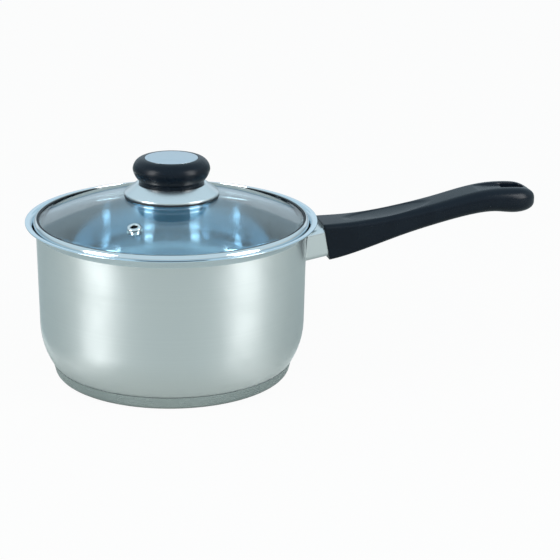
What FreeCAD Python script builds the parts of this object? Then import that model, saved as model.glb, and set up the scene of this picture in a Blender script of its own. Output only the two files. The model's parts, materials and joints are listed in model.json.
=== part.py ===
import FreeCAD, Part
import math
import os

# Saucepan with a domed glass lid and one long handle.
# Frame: millimetres, +Z up, origin at the centre of the underside, handle along +X.
# Every driving size is written once here; what seats on, fits in or lines up with
# another piece is worked out from these values and a named clearance.

# Pan body
PAN_RADIUS = 80.5            # outside of the wall where the rim begins to flare
FLARE_HEIGHT = 88.6          # height of that bend above the underside
WALL_LEAN = 0.86             # degrees the wall opens towards the top
SHELL_SHEET = 0.6
BELLY_RADIUS = 43.7
HEEL_RADIUS = 7.4            # tighter curve between belly and floor
HEEL_TURN = 59.2             # degrees of turn that the tighter curve makes
RIM_REACH = 6.3              # how far the lip stands out past the wall
RIM_RISE = 5.7               # how far the lip stands above the bend
FLARE_SLOPE = 53.5           # degrees above the horizontal
BEND_RADIUS = 0.8
LIP_BEND_RADIUS = 1.4

# Capsule base
CAPSULE_DEPTH = 5.9          # underside of the pan's own floor above the ground
CAPSULE_SHEET = 0.6
CAPSULE_INSET = 0.9          # flat underside's radius past the pan's flat floor
CAPSULE_CORNER = 3.4
CAPSULE_SIDE_LEAN = 14.0     # degrees the capsule's side opens upwards
SEAM_GAP = 0.25              # open joint between capsule edge and belly
SEAM_HEIGHT = 8.0

# Lid
EDGE_BEAD_RADIUS = 2.9       # outside of the steel band around the glass edge
BEAD_CENTRE_INSET = 1.5      # centre of the glass edge, inside the wall's outside
BAND_SHEET = 0.5
SEAL_THICKNESS = 0.4
LID_SEAT_GAP = 0.3           # between the band and the flare it sits in
BAND_TOP_WRAP = 158.0        # degrees that the band turns around the glass edge
BAND_FOOT = 1.4              # straight part of the band under the glass
SEAL_FOOT = 0.9
SEAL_LIP = 0.5               # straight part of the seal on top of the glass
DOME_RADIUS = 198.0
KNEE_RADIUS = 6.0
FLANGE_WIDTH = 0.8           # flat glass between the knee and the rounded edge
KNOB_HOLE_RADIUS = 4.0
VENT_DISTANCE = 55.0
VENT_DIRECTION = -122.7      # degrees around the lid from the handle

# Steam vent
VENT_BORE_RADIUS = 2.0
VENT_TUBE_RADIUS = 2.85
VENT_TUBE_FIT = 0.15
VENT_FLANGE_RADIUS = 4.1
VENT_FLANGE_HEIGHT = 1.0
VENT_GASKET_THICKNESS = 0.4
VENT_WASHER_RADIUS = 4.4
VENT_WASHER_THICKNESS = 0.8
VENT_CURL = 0.4              # tube end turned out under the washer
VENT_THROAT_SHARE = 0.4      # how far the rounding drops into the bore, of the flange's height
VENT_EDGE_SHARE = 0.3        # upright outer edge, of the flange's height
CURVE_GAP = 0.08             # flat ring against the hollow side of the dome
VENT_DRILL_LENGTH = 40.0

# Knob
SKIRT_RADIUS = 28.1
SKIRT_LEDGE = 0.75           # flat shelf of the skirt past the knob's neck
SKIRT_HEIGHT = 6.6
SKIRT_SHEET = 0.6
SKIRT_EDGE = 0.7             # short upright edge at the foot of the skirt
SKIRT_EDGE_BEND = 0.7
SKIRT_SHOULDER_BEND = 1.0
SKIRT_GASKET_WIDTH = 1.6
SKIRT_GASKET_THICKNESS = 0.9
NECK_RADIUS = 19.35
NECK_HEIGHT = 1.65
HEAD_OVERHANG = 3.55         # how far the head stands out past the neck
HEAD_WAIST_RISE = 6.75       # from the neck to the widest line of the head
HEAD_CROWN_RISE = 6.6        # from the widest line to the cap's edge
UNDER_BULGE = (0.65, 0.45)   # shares of reach and rise at the middle of the lower curve
CROWN_BULGE = (0.74, 0.67)   # the same for the upper curve, from the cap's edge
CAP_RADIUS = 15.7
CAP_THICKNESS = 0.9
CAP_CROWN = 0.5
CAP_FIT = 0.1
BOSS_RADIUS = 7.0
BOSS_FIT = 0.3
INSERT_RADIUS = 4.0
INSERT_LENGTH = 12.0
GROMMET_THICKNESS = 1.0
SLEEVE_FIT = 0.1
LOWER_GASKET_RADIUS = 9.5
LOWER_GASKET_THICKNESS = 1.3
WASHER_RADIUS = 9.0
WASHER_THICKNESS = 1.0
SPRING_WASHER_RADIUS = 4.4
SPRING_WASHER_THICKNESS = 1.2
SPRING_WASHER_SPLIT = 0.8

# Screws, M5
THREAD_RADIUS = 2.5
THREAD_CLEARANCE = 0.25
SCREW_HEAD_RADIUS = 4.25
SCREW_HEAD_HEIGHT = 2.8
RECESS_WIDTH = 1.1
RECESS_SPAN = 4.6
RECESS_DEPTH = 1.5
HEAD_ROUNDING = 0.45         # radius of the head's rim, as a share of its height
KNOB_SCREW_END_GAP = 2.0     # thread left free beyond the knob's screw
NUT_FLATS = 8.0
NUT_HEIGHT = 4.0
NUT_SIDE_PLAY = 1.76         # room inside the bracket past the nut's corners, both sides
NUT_TOP_PLAY = 0.4

# Handle fixing; its pieces lie along the screw's rising line
SCREW_RISE = 10.5            # degrees above the horizontal
FIXING_DROP = 12.0           # screw line at the grip's nose, below the rim's bend
NOSE_REACH = 12.5            # from the wall to the grip's nose
BRACKET_SHEET = 1.2
PAD_SIDE_GAP = 1.3           # between the bracket's pad and the guard
PAD_TOP_GAP = 1.2
GUARD_WIDTH = 22.6
GUARD_HEIGHT = 17.8
GUARD_SHEET = 0.7
GUARD_CORNER = 3.0
GUARD_WALL_GAP = 0.3         # at the foot of the guard
GUARD_LEAN = 4.5             # degrees the guard's end leans away from the wall

# Grip: stations along its length as a share, then top and underside in mm over
# the screw's height at the nose, half width, and corner radius
GRIP_LENGTH = 135.8
GRIP_STATIONS = (
    (-0.04, 11.2, -11.9, 12.7, 2.6),
    (0.00, 11.4, -11.4, 12.7, 2.8),
    (0.18, 12.5, -5.9, 12.3, 3.6),
    (0.36, 16.1, 1.5, 12.0, 4.4),
    (0.54, 21.1, 7.8, 12.2, 5.2),
    (0.70, 26.1, 12.3, 13.1, 5.9),
    (0.80, 27.7, 13.2, 13.9, 6.4),
    (0.89, 27.6, 12.0, 14.2, 6.8),
)
TIP_HEIGHT = 17.8            # height of the very tip over the same level
TIP_TURNS = (24.0, 44.0, 60.0, 73.0, 83.0)
TIP_HEIGHT_POWER = 0.8       # how blunt the tip is from the side; 1 is elliptic
TIP_WIDTH_POWER = 0.9        # the same from above
CORNER_HEIGHT_LIMIT = 0.48   # largest corner radius, as a share of a section's height
CORNER_WIDTH_LIMIT = 0.9     # the same, of its half width
SLOT_START = 0.845           # pan side of the hanging slot, as a share of the grip
SLOT_END = 0.950
SLOT_HALF_WIDTH = 5.6
TROUGH_START = 0.720
TROUGH_DEPTH = 1.2
HEAD_BORE_FIT = 0.1
HEAD_BORE_DEPTH = 3.9
HANDLE_WASHER_RADIUS = 4.4
HANDLE_WASHER_THICKNESS = 0.8

# Modelling allowances
OVERCUT = 1.0                # how far a cutter passes the face that it starts from
SAME_PLACE = 1e-6

# Worked out from the sizes above
WALL_HEADING = 90.0 - WALL_LEAN
CAPSULE_HEADING = 90.0 - CAPSULE_SIDE_LEAN
BEAD_CENTRE_RADIUS = PAN_RADIUS - BEAD_CENTRE_INSET
VENT_HOLE_RADIUS = VENT_TUBE_RADIUS + VENT_TUBE_FIT
SKIRT_TOP_RADIUS = NECK_RADIUS + SKIRT_LEDGE
HEAD_RADIUS = NECK_RADIUS + HEAD_OVERHANG
CLEARANCE_BORE_RADIUS = THREAD_RADIUS + THREAD_CLEARANCE
FIXING_HEIGHT = FLARE_HEIGHT - FIXING_DROP
NUT_CORNER_RADIUS = 0.5 * NUT_FLATS / math.cos(math.radians(30.0))
BRACKET_WIDTH = 2.0 * (NUT_CORNER_RADIUS + BRACKET_SHEET) + NUT_SIDE_PLAY
BRACKET_HEIGHT = NUT_FLATS + 2.0 * BRACKET_SHEET + NUT_TOP_PLAY
BRACKET_PAD_WIDTH = GUARD_WIDTH - 2.0 * (GUARD_SHEET + PAD_SIDE_GAP)
BRACKET_PAD_HEIGHT = GUARD_HEIGHT - 2.0 * (GUARD_SHEET + PAD_TOP_GAP)
HEAD_BORE_RADIUS = HANDLE_WASHER_RADIUS + HEAD_BORE_FIT
AXIS = FreeCAD.Vector(0, 0, 1)
ORIGIN = FreeCAD.Vector(0, 0, 0)


def sine(degrees):
    return math.sin(math.radians(degrees))


def cosine(degrees):
    return math.cos(math.radians(degrees))


def point(radius, height):
    return FreeCAD.Vector(radius, 0, height)


class Trace:
    """A path in the lathe plane, walked by straight steps and tangent bends."""

    def __init__(self, radius, height, heading, offset=0.0):
        self.heading = heading
        self.offset = offset
        self.place = (radius - offset * sine(heading), height + offset * cosine(heading))
        self.start = self.place
        self.edges = []

    def ahead(self, length):
        before = point(*self.place)
        radius, height = self.place
        self.place = (radius + length * cosine(self.heading), height + length * sine(self.heading))
        self.edges.append(Part.LineSegment(before, point(*self.place)).toShape())
        return self

    def bend(self, radius, turn):
        """Turn left by a positive angle; the radius is that of the un-offset path."""
        side = math.copysign(1.0, turn)
        reach = radius - side * self.offset
        x, z = self.place
        centre = (x - side * reach * sine(self.heading), z + side * reach * cosine(self.heading))
        stops = []
        for share in (0.5, 1.0):
            angle = self.heading + share * turn
            stops.append((centre[0] + side * reach * sine(angle), centre[1] - side * reach * cosine(angle)))
        arc = Part.Arc(point(x, z), point(*stops[0]), point(*stops[1]))
        self.edges.append(arc.toShape())
        self.place = stops[1]
        self.heading += turn
        return self


def lathe(edges):
    """Turn a closed chain of edges about Z into one solid."""
    wire = Part.Wire(Part.__sortEdges__(edges))
    turned = Part.Face(wire).revolve(ORIGIN, AXIS, 360)
    return solid_of(turned)


def solid_of(shape):
    solids = shape.Solids
    if len(solids) != 1:
        raise ValueError("expected one solid, found %d" % len(solids))
    return solids[0]


def line(start, end):
    return Part.LineSegment(point(*start), point(*end)).toShape()


def polygon(corners):
    return [line(a, b) for a, b in zip(corners, corners[1:] + corners[:1])]


def spun_sheet(walk, thickness):
    """A turned sheet: walk(offset) traces one face, with the metal on its left."""
    outer = walk(0.0)
    inner = walk(thickness)
    caps = [line(outer.start, inner.start)] if outer.start != inner.start else []
    caps.append(line(outer.place, inner.place))
    return lathe(outer.edges + inner.edges + caps)


def filled_under(trace):
    """The solid between a traced face, which starts on the axis, and the axis."""
    radius, height = trace.place
    closing = [line((radius, height), (0.0, height)), line((0.0, height), trace.start)]
    return lathe(trace.edges + closing)


def ring(inner_radius, outer_radius, low, high):
    corners = [(inner_radius, low), (outer_radius, low), (outer_radius, high), (inner_radius, high)]
    return lathe(polygon(corners))


# Pan body --------------------------------------------------------------------

def flat_floor_radius():
    heel = HEEL_RADIUS * sine(HEEL_TURN)
    belly = BELLY_RADIUS * (sine(WALL_HEADING) - sine(HEEL_TURN))
    return PAN_RADIUS - wall_length() * cosine(WALL_HEADING) - belly - heel


def wall_foot_height():
    heel = HEEL_RADIUS * (1.0 - cosine(HEEL_TURN))
    belly = BELLY_RADIUS * (cosine(HEEL_TURN) - cosine(WALL_HEADING))
    return CAPSULE_DEPTH + heel + belly


def wall_length():
    return (FLARE_HEIGHT - wall_foot_height()) / sine(WALL_HEADING)


def wall_radius(height):
    """Outside radius of the straight wall at a height."""
    return PAN_RADIUS - (FLARE_HEIGHT - height) * cosine(WALL_HEADING) / sine(WALL_HEADING)


def walk_body(offset, through_rim=True):
    """The pan's outside face, from the axis along the floor and up the wall."""
    trace = Trace(0.0, CAPSULE_DEPTH, 0.0, offset)
    trace.ahead(flat_floor_radius())
    trace.bend(HEEL_RADIUS, HEEL_TURN)
    trace.bend(BELLY_RADIUS, WALL_HEADING - HEEL_TURN)
    trace.ahead(wall_length())
    if through_rim:
        walk_rim(trace)
    return trace


def flare_start():
    """How far out and up the bend takes the outside face before the flare."""
    reach = BEND_RADIUS * (sine(WALL_HEADING) - sine(FLARE_SLOPE))
    rise = BEND_RADIUS * (cosine(FLARE_SLOPE) - cosine(WALL_HEADING))
    return reach, rise


def walk_rim(trace):
    """The flare and the level lip that follow the straight wall."""
    bend_reach, bend_rise = flare_start()
    lip_reach = LIP_BEND_RADIUS * sine(FLARE_SLOPE)
    lip_rise = LIP_BEND_RADIUS * (1.0 - cosine(FLARE_SLOPE))
    slope_length = (RIM_RISE - SHELL_SHEET - bend_rise - lip_rise) / sine(FLARE_SLOPE)
    trace.bend(BEND_RADIUS, FLARE_SLOPE - WALL_HEADING)
    trace.ahead(slope_length)
    trace.bend(LIP_BEND_RADIUS, -FLARE_SLOPE)
    trace.ahead(RIM_REACH - bend_reach - slope_length * cosine(FLARE_SLOPE) - lip_reach)


def pan_shell():
    return spun_sheet(walk_body, SHELL_SHEET)


def body_volume(gap):
    """Everything inside the pan's outside face, grown outwards by a gap."""
    return filled_under(walk_body(-gap, through_rim=False))


# Capsule base ----------------------------------------------------------------

def walk_capsule(offset):
    corner_rise = CAPSULE_CORNER * (1.0 - cosine(CAPSULE_HEADING))
    trace = Trace(0.0, 0.0, 0.0, offset)
    trace.ahead(flat_floor_radius() + CAPSULE_INSET)
    trace.bend(CAPSULE_CORNER, CAPSULE_HEADING)
    trace.ahead((SEAM_HEIGHT - corner_rise) / sine(CAPSULE_HEADING))
    return trace


def base_cover():
    return solid_of(spun_sheet(walk_capsule, CAPSULE_SHEET).cut(body_volume(SEAM_GAP)))


def base_core():
    blank = filled_under(walk_capsule(CAPSULE_SHEET))
    return solid_of(blank.cut(body_volume(0.0)))


# Lid -------------------------------------------------------------------------

def bead_height():
    """Height of the glass edge's centre line when the band sits in the flare."""
    bend_reach, bend_rise = flare_start()
    seat_radius = PAN_RADIUS + bend_reach - SHELL_SHEET * sine(FLARE_SLOPE)
    foot = FLARE_HEIGHT + bend_rise + SHELL_SHEET * cosine(FLARE_SLOPE)
    stand_off = EDGE_BEAD_RADIUS + LID_SEAT_GAP
    across = (BEAD_CENTRE_RADIUS - seat_radius) * sine(FLARE_SLOPE)
    return foot + (across + stand_off) / cosine(FLARE_SLOPE)


def glass_edge_radius():
    return EDGE_BEAD_RADIUS - BAND_SHEET - SEAL_THICKNESS


def knee_place():
    """Radius and height of the knee's centre, above the flat flange."""
    radius = BEAD_CENTRE_RADIUS - FLANGE_WIDTH
    return radius, bead_height() + glass_edge_radius() + KNEE_RADIUS


def dome_centre_height():
    radius, height = knee_place()
    return height - math.sqrt((DOME_RADIUS + KNEE_RADIUS) ** 2 - radius ** 2)


def glass_top(radius):
    return dome_centre_height() + math.sqrt(DOME_RADIUS ** 2 - radius ** 2)


def glass_underside(radius):
    inner = DOME_RADIUS - 2.0 * glass_edge_radius()
    return dome_centre_height() + math.sqrt(inner ** 2 - radius ** 2)


def dome_arc(surface, start, end):
    """An arc on a domed face between two radii; surface gives its height."""
    middle = 0.5 * (start + end)
    places = [point(radius, surface(radius)) for radius in (start, middle, end)]
    return Part.Arc(*places).toShape()


def knee_arc(radius, tangent_angle):
    """From the flange, straight under the knee's centre, to the dome."""
    centre_radius, centre_height = knee_place()
    places = []
    for angle in (0.0, 0.5 * tangent_angle, tangent_angle):
        places.append(point(centre_radius - radius * sine(angle), centre_height - radius * cosine(angle)))
    return Part.Arc(*places).toShape(), (places[2].x, places[2].z)


def lid_glass():
    """Domed glass with a rounded edge, a knob hole and a vent hole."""
    edge = glass_edge_radius()
    level = bead_height()
    centre_radius, centre_height = knee_place()
    tilt = math.degrees(math.asin(centre_radius / (DOME_RADIUS + KNEE_RADIUS)))
    upper_knee, upper_end = knee_arc(KNEE_RADIUS, tilt)
    lower_knee, lower_end = knee_arc(KNEE_RADIUS + 2.0 * edge, tilt)
    rounded = Part.Arc(
        point(BEAD_CENTRE_RADIUS, level + edge),
        point(BEAD_CENTRE_RADIUS + edge, level),
        point(BEAD_CENTRE_RADIUS, level - edge),
    ).toShape()
    hole = KNOB_HOLE_RADIUS
    outline = [
        line((hole, glass_underside(hole)), (hole, glass_top(hole))),
        dome_arc(glass_top, hole, upper_end[0]),
        upper_knee,
        line((centre_radius, level + edge), (BEAD_CENTRE_RADIUS, level + edge)),
        rounded,
        line((BEAD_CENTRE_RADIUS, level - edge), (centre_radius, level - edge)),
        lower_knee,
        dome_arc(glass_underside, lower_end[0], hole),
    ]
    drill_foot = FreeCAD.Vector(0, 0, -0.5 * VENT_DRILL_LENGTH)
    drill = at_vent(Part.makeCylinder(VENT_HOLE_RADIUS, VENT_DRILL_LENGTH, drill_foot))
    return solid_of(lathe(outline).cut(drill))


def walk_edge(offset, bead_radius, foot, wrap, lip=0.0):
    """Around the glass edge from underneath, outwards, up and over."""
    start_radius = BEAD_CENTRE_RADIUS - foot
    trace = Trace(start_radius, bead_height() - bead_radius, 0.0, offset)
    trace.ahead(foot)
    trace.bend(bead_radius, wrap)
    if lip > 0.0:
        trace.ahead(lip)
    return trace


def lid_band():
    def walk(offset):
        return walk_edge(offset, EDGE_BEAD_RADIUS, BAND_FOOT, BAND_TOP_WRAP)
    return spun_sheet(walk, BAND_SHEET)


def band_seal():
    def walk(offset):
        return walk_edge(offset, EDGE_BEAD_RADIUS - BAND_SHEET, SEAL_FOOT, 180.0, SEAL_LIP)
    return spun_sheet(walk, SEAL_THICKNESS)


# Steam vent ------------------------------------------------------------------

def at_vent(shape):
    """Stand a piece made about Z, with the glass top at Z = 0, in the vent hole."""
    tilt = math.degrees(math.asin(VENT_DISTANCE / DOME_RADIUS))
    moved = shape.copy()
    moved.rotate(ORIGIN, FreeCAD.Vector(0, 1, 0), tilt)
    moved.translate(FreeCAD.Vector(VENT_DISTANCE, 0, glass_top(VENT_DISTANCE)))
    moved.rotate(ORIGIN, AXIS, VENT_DIRECTION)
    return moved


def vent_washer_top():
    return -2.0 * glass_edge_radius() - CURVE_GAP


def vent_eyelet():
    """Rounded flange above the glass, tube through it, end turned out below."""
    low = vent_washer_top() - VENT_WASHER_THICKNESS
    curl_radius = VENT_TUBE_RADIUS + VENT_CURL
    base = VENT_GASKET_THICKNESS
    crown = base + VENT_FLANGE_HEIGHT
    shoulder = 0.5 * (VENT_BORE_RADIUS + VENT_FLANGE_RADIUS)
    throat = crown - VENT_THROAT_SHARE * VENT_FLANGE_HEIGHT
    edge = base + VENT_EDGE_SHARE * VENT_FLANGE_HEIGHT
    rounded = Part.Arc(
        point(VENT_BORE_RADIUS, throat),
        point(shoulder, crown),
        point(VENT_FLANGE_RADIUS, edge),
    ).toShape()
    outline = [
        rounded,
        line((VENT_FLANGE_RADIUS, edge), (VENT_FLANGE_RADIUS, base)),
        line((VENT_FLANGE_RADIUS, base), (VENT_TUBE_RADIUS, base)),
        line((VENT_TUBE_RADIUS, base), (VENT_TUBE_RADIUS, low)),
        line((VENT_TUBE_RADIUS, low), (curl_radius, low)),
        line((curl_radius, low), (curl_radius, low - VENT_CURL)),
        line((curl_radius, low - VENT_CURL), (VENT_BORE_RADIUS, low - VENT_CURL)),
        line((VENT_BORE_RADIUS, low - VENT_CURL), (VENT_BORE_RADIUS, throat)),
    ]
    return at_vent(lathe(outline))


def vent_gasket():
    return at_vent(ring(VENT_TUBE_RADIUS, VENT_FLANGE_RADIUS, 0.0, VENT_GASKET_THICKNESS))


def vent_washer():
    top = vent_washer_top()
    return at_vent(ring(VENT_TUBE_RADIUS, VENT_WASHER_RADIUS, top - VENT_WASHER_THICKNESS, top))


# Knob ------------------------------------------------------------------------

def skirt_foot_height():
    return glass_top(SKIRT_RADIUS - SKIRT_GASKET_WIDTH) + SKIRT_GASKET_THICKNESS


def knob_seat_height():
    """Flat top of the skirt, which the knob stands on."""
    return skirt_foot_height() + SKIRT_HEIGHT


def boss_foot_height():
    return glass_top(0.0) + GROMMET_THICKNESS


def waist_height():
    return knob_seat_height() + NECK_HEIGHT + HEAD_WAIST_RISE


def skirt_slope():
    """Degrees above the horizontal of the cone between its two bends."""
    inner = SKIRT_TOP_RADIUS
    return math.degrees(math.atan2(SKIRT_HEIGHT - SKIRT_EDGE, SKIRT_RADIUS - inner))


def walk_skirt(offset):
    """The skirt's outside from its foot, up the cone and in to the knob's boss."""
    slope = skirt_slope()
    edge_reach = SKIRT_EDGE_BEND * (1.0 - cosine(90.0 - slope))
    edge_rise = SKIRT_EDGE_BEND * sine(90.0 - slope)
    top_rise = SKIRT_SHOULDER_BEND * (1.0 - cosine(slope))
    top_reach = SKIRT_SHOULDER_BEND * sine(slope)
    cone = (SKIRT_HEIGHT - SKIRT_EDGE - edge_rise - top_rise) / sine(slope)
    run = SKIRT_RADIUS - edge_reach - cone * cosine(slope) - top_reach
    trace = Trace(SKIRT_RADIUS, skirt_foot_height(), 90.0, offset)
    trace.ahead(SKIRT_EDGE)
    trace.bend(SKIRT_EDGE_BEND, 90.0 - slope)
    trace.ahead(cone)
    trace.bend(SKIRT_SHOULDER_BEND, slope)
    trace.ahead(run - BOSS_RADIUS - BOSS_FIT)
    return trace


def knob_skirt():
    return spun_sheet(walk_skirt, SKIRT_SHEET)


def skirt_gasket():
    """Ring between the skirt's foot and the curved glass."""
    inner = SKIRT_RADIUS - SKIRT_GASKET_WIDTH
    top = skirt_foot_height()
    outline = [
        dome_arc(glass_top, inner, SKIRT_RADIUS),
        line((SKIRT_RADIUS, glass_top(SKIRT_RADIUS)), (SKIRT_RADIUS, top)),
        line((SKIRT_RADIUS, top), (inner, top)),
        line((inner, top), (inner, glass_top(inner))),
    ]
    return lathe(outline)


def bulged_arc(start, end, shares):
    """An arc whose middle lies at given shares of the way out and of the way along."""
    reach = end[0] - start[0]
    rise = end[1] - start[1]
    along = shares[1] if rise > 0 else 1.0 - shares[1]
    middle = point(start[0] + shares[0] * reach, start[1] + along * rise)
    return Part.Arc(point(*start), middle, point(*end)).toShape()


def knob_body():
    """Moulded head, neck and boss, hollowed for the insert and the cap."""
    seat = knob_seat_height()
    foot = boss_foot_height()
    neck_top = seat + NECK_HEIGHT
    waist = waist_height()
    rim = waist + HEAD_CROWN_RISE
    cap_edge = CAP_RADIUS + CAP_FIT
    cap_floor = rim - CAP_THICKNESS
    bore_top = foot + INSERT_LENGTH
    under = bulged_arc((NECK_RADIUS, neck_top), (HEAD_RADIUS, waist), UNDER_BULGE)
    over = bulged_arc((cap_edge, rim), (HEAD_RADIUS, waist), CROWN_BULGE)
    corners = [
        (cap_edge, rim), (cap_edge, cap_floor), (0.0, cap_floor), (0.0, bore_top),
        (INSERT_RADIUS, bore_top), (INSERT_RADIUS, foot), (BOSS_RADIUS, foot),
        (BOSS_RADIUS, seat), (NECK_RADIUS, seat), (NECK_RADIUS, neck_top),
    ]
    sides = [line(a, b) for a, b in zip(corners, corners[1:])]
    return lathe(sides + [under, over])


def cap_top(radius):
    """Height of the cap's crowned face."""
    crown_radius = 0.5 * (CAP_RADIUS ** 2 + CAP_CROWN ** 2) / CAP_CROWN
    rim = waist_height() + HEAD_CROWN_RISE
    return rim + CAP_CROWN - crown_radius + math.sqrt(crown_radius ** 2 - radius ** 2)


def knob_cap():
    """Slightly crowned metal disc let into the top of the knob."""
    rim = cap_top(CAP_RADIUS)
    floor = rim - CAP_THICKNESS
    outline = [
        dome_arc(cap_top, 0.0, CAP_RADIUS),
        line((CAP_RADIUS, rim), (CAP_RADIUS, floor)),
        line((CAP_RADIUS, floor), (0.0, floor)),
        line((0.0, floor), (0.0, cap_top(0.0))),
    ]
    return lathe(outline)


def knob_insert():
    foot = boss_foot_height()
    return ring(THREAD_RADIUS, INSERT_RADIUS, foot, foot + INSERT_LENGTH)


def hole_grommet():
    """Soft flange under the boss with a sleeve down the hole in the glass."""
    bore = CLEARANCE_BORE_RADIUS
    sleeve = KNOB_HOLE_RADIUS - SLEEVE_FIT
    sleeve_foot = glass_underside(sleeve) + SLEEVE_FIT
    top = boss_foot_height()
    outline = [
        dome_arc(glass_top, sleeve, BOSS_RADIUS),
        line((BOSS_RADIUS, glass_top(BOSS_RADIUS)), (BOSS_RADIUS, top)),
        line((BOSS_RADIUS, top), (bore, top)),
        line((bore, top), (bore, sleeve_foot)),
        line((bore, sleeve_foot), (sleeve, sleeve_foot)),
        line((sleeve, sleeve_foot), (sleeve, glass_top(sleeve))),
    ]
    return lathe(outline)


def lower_gasket_foot():
    return glass_underside(0.0) - LOWER_GASKET_THICKNESS


def knob_gasket_lower():
    bore = CLEARANCE_BORE_RADIUS
    foot = lower_gasket_foot()
    outline = [
        dome_arc(glass_underside, bore, LOWER_GASKET_RADIUS),
        line((LOWER_GASKET_RADIUS, glass_underside(LOWER_GASKET_RADIUS)), (LOWER_GASKET_RADIUS, foot)),
        line((LOWER_GASKET_RADIUS, foot), (bore, foot)),
        line((bore, foot), (bore, glass_underside(bore))),
    ]
    return lathe(outline)


def knob_washer():
    top = lower_gasket_foot()
    return ring(CLEARANCE_BORE_RADIUS, WASHER_RADIUS, top - WASHER_THICKNESS, top)


def spring_washer_foot():
    return lower_gasket_foot() - WASHER_THICKNESS - SPRING_WASHER_THICKNESS


def knob_spring_washer():
    foot = spring_washer_foot()
    washer = ring(CLEARANCE_BORE_RADIUS, SPRING_WASHER_RADIUS, foot, foot + SPRING_WASHER_THICKNESS)
    split = Part.makeBox(2.0 * SPRING_WASHER_RADIUS, SPRING_WASHER_SPLIT, 3.0 * SPRING_WASHER_THICKNESS)
    split.translate(FreeCAD.Vector(0, -0.5 * SPRING_WASHER_SPLIT, foot - SPRING_WASHER_THICKNESS))
    return solid_of(washer.cut(split))


def screw(length):
    """Pan-head screw about Z: head under Z = 0, shank rising to length."""
    head = Part.makeCylinder(SCREW_HEAD_RADIUS, SCREW_HEAD_HEIGHT, point(0, -SCREW_HEAD_HEIGHT))
    lower_rim = [edge for edge in head.Edges if abs(edge.BoundBox.ZMax + SCREW_HEAD_HEIGHT) < SAME_PLACE]
    head = head.makeFillet(HEAD_ROUNDING * SCREW_HEAD_HEIGHT, lower_rim)
    solid = head.fuse(Part.makeCylinder(THREAD_RADIUS, length))
    for turn in (0.0, 90.0):
        arm = Part.makeBox(RECESS_SPAN, RECESS_WIDTH, RECESS_DEPTH)
        arm.translate(FreeCAD.Vector(-0.5 * RECESS_SPAN, -0.5 * RECESS_WIDTH, -SCREW_HEAD_HEIGHT))
        arm.rotate(ORIGIN, AXIS, turn)
        solid = solid.cut(arm)
    return solid_of(solid)


def knob_screw():
    head_seat = spring_washer_foot()
    top = boss_foot_height() + INSERT_LENGTH - KNOB_SCREW_END_GAP
    made = screw(top - head_seat)
    made.translate(point(0, head_seat))
    return made


# Handle fixing ---------------------------------------------------------------

def nose_x():
    """Where the screw's line meets the grip's nose."""
    return wall_radius(FIXING_HEIGHT) + NOSE_REACH


def along_screw(shape):
    """Place a piece made along +X, nose plane at X = 0, on the rising screw line."""
    moved = shape.copy()
    moved.rotate(ORIGIN, FreeCAD.Vector(0, 1, 0), -SCREW_RISE)
    moved.translate(point(nose_x(), FIXING_HEIGHT))
    return moved


def centred_box(start, end, width, height):
    box = Part.makeBox(end - start, width, height)
    box.translate(FreeCAD.Vector(start, -0.5 * width, -0.5 * height))
    return box


def rod(radius, start, end):
    """A round bar along +X."""
    return Part.makeCylinder(radius, end - start, FreeCAD.Vector(start, 0, 0), FreeCAD.Vector(1, 0, 0))


def rounded_tube(start, end, width, height, corner):
    box = centred_box(start, end, width, height)
    long_edges = [edge for edge in box.Edges if edge.BoundBox.XLength > 0.5 * (end - start)]
    return box.makeFillet(corner, long_edges)


def wall_band(gap, thickness):
    """A tall turned ring that follows the pan's outside wall."""
    low = wall_foot_height()
    high = FLARE_HEIGHT
    corners = [(wall_radius(low) + gap, low), (wall_radius(low) + gap + thickness, low),
               (wall_radius(high) + gap + thickness, high), (wall_radius(high) + gap, high)]
    return lathe(polygon(corners))


def wall_fill(gap):
    """Everything inside the pan's outside wall, over its straight height."""
    low = wall_foot_height()
    high = FLARE_HEIGHT
    corners = [(0.0, low), (wall_radius(low) + gap, low), (wall_radius(high) + gap, high), (0.0, high)]
    return lathe(polygon(corners))


def handle_bracket():
    """Pad that follows the wall, and a closed box that holds the nut."""
    back = -2.0 * NOSE_REACH
    front = -GUARD_SHEET
    stub = centred_box(back, front, BRACKET_WIDTH, BRACKET_HEIGHT)
    pad = centred_box(back, 0.0, BRACKET_PAD_WIDTH, BRACKET_PAD_HEIGHT)
    inside = centred_box(back, front - BRACKET_SHEET, BRACKET_WIDTH - 2.0 * BRACKET_SHEET,
                         BRACKET_HEIGHT - 2.0 * BRACKET_SHEET)
    bore = rod(CLEARANCE_BORE_RADIUS, back, NOSE_REACH)
    pad_on_wall = along_screw(pad).common(wall_band(0.0, BRACKET_SHEET))
    stub_off_wall = along_screw(stub).cut(wall_fill(0.0))
    joined = pad_on_wall.fuse(stub_off_wall).cut(along_screw(inside)).cut(along_screw(bore))
    return solid_of(joined.removeSplitter())


def bracket_nut():
    """Hexagon nut against the inside of the bracket's end."""
    end = -GUARD_SHEET - BRACKET_SHEET
    corners = []
    for index in range(6):
        across = NUT_CORNER_RADIUS * cosine(60.0 * index)
        up = NUT_CORNER_RADIUS * sine(60.0 * index)
        corners.append(FreeCAD.Vector(end - NUT_HEIGHT, across, up))
    face = Part.Face(Part.makePolygon(corners + corners[:1]))
    blank = face.extrude(FreeCAD.Vector(NUT_HEIGHT, 0, 0))
    return along_screw(solid_of(blank.cut(rod(THREAD_RADIUS, end - 2.0 * NUT_HEIGHT, end + NUT_HEIGHT))))


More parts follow.
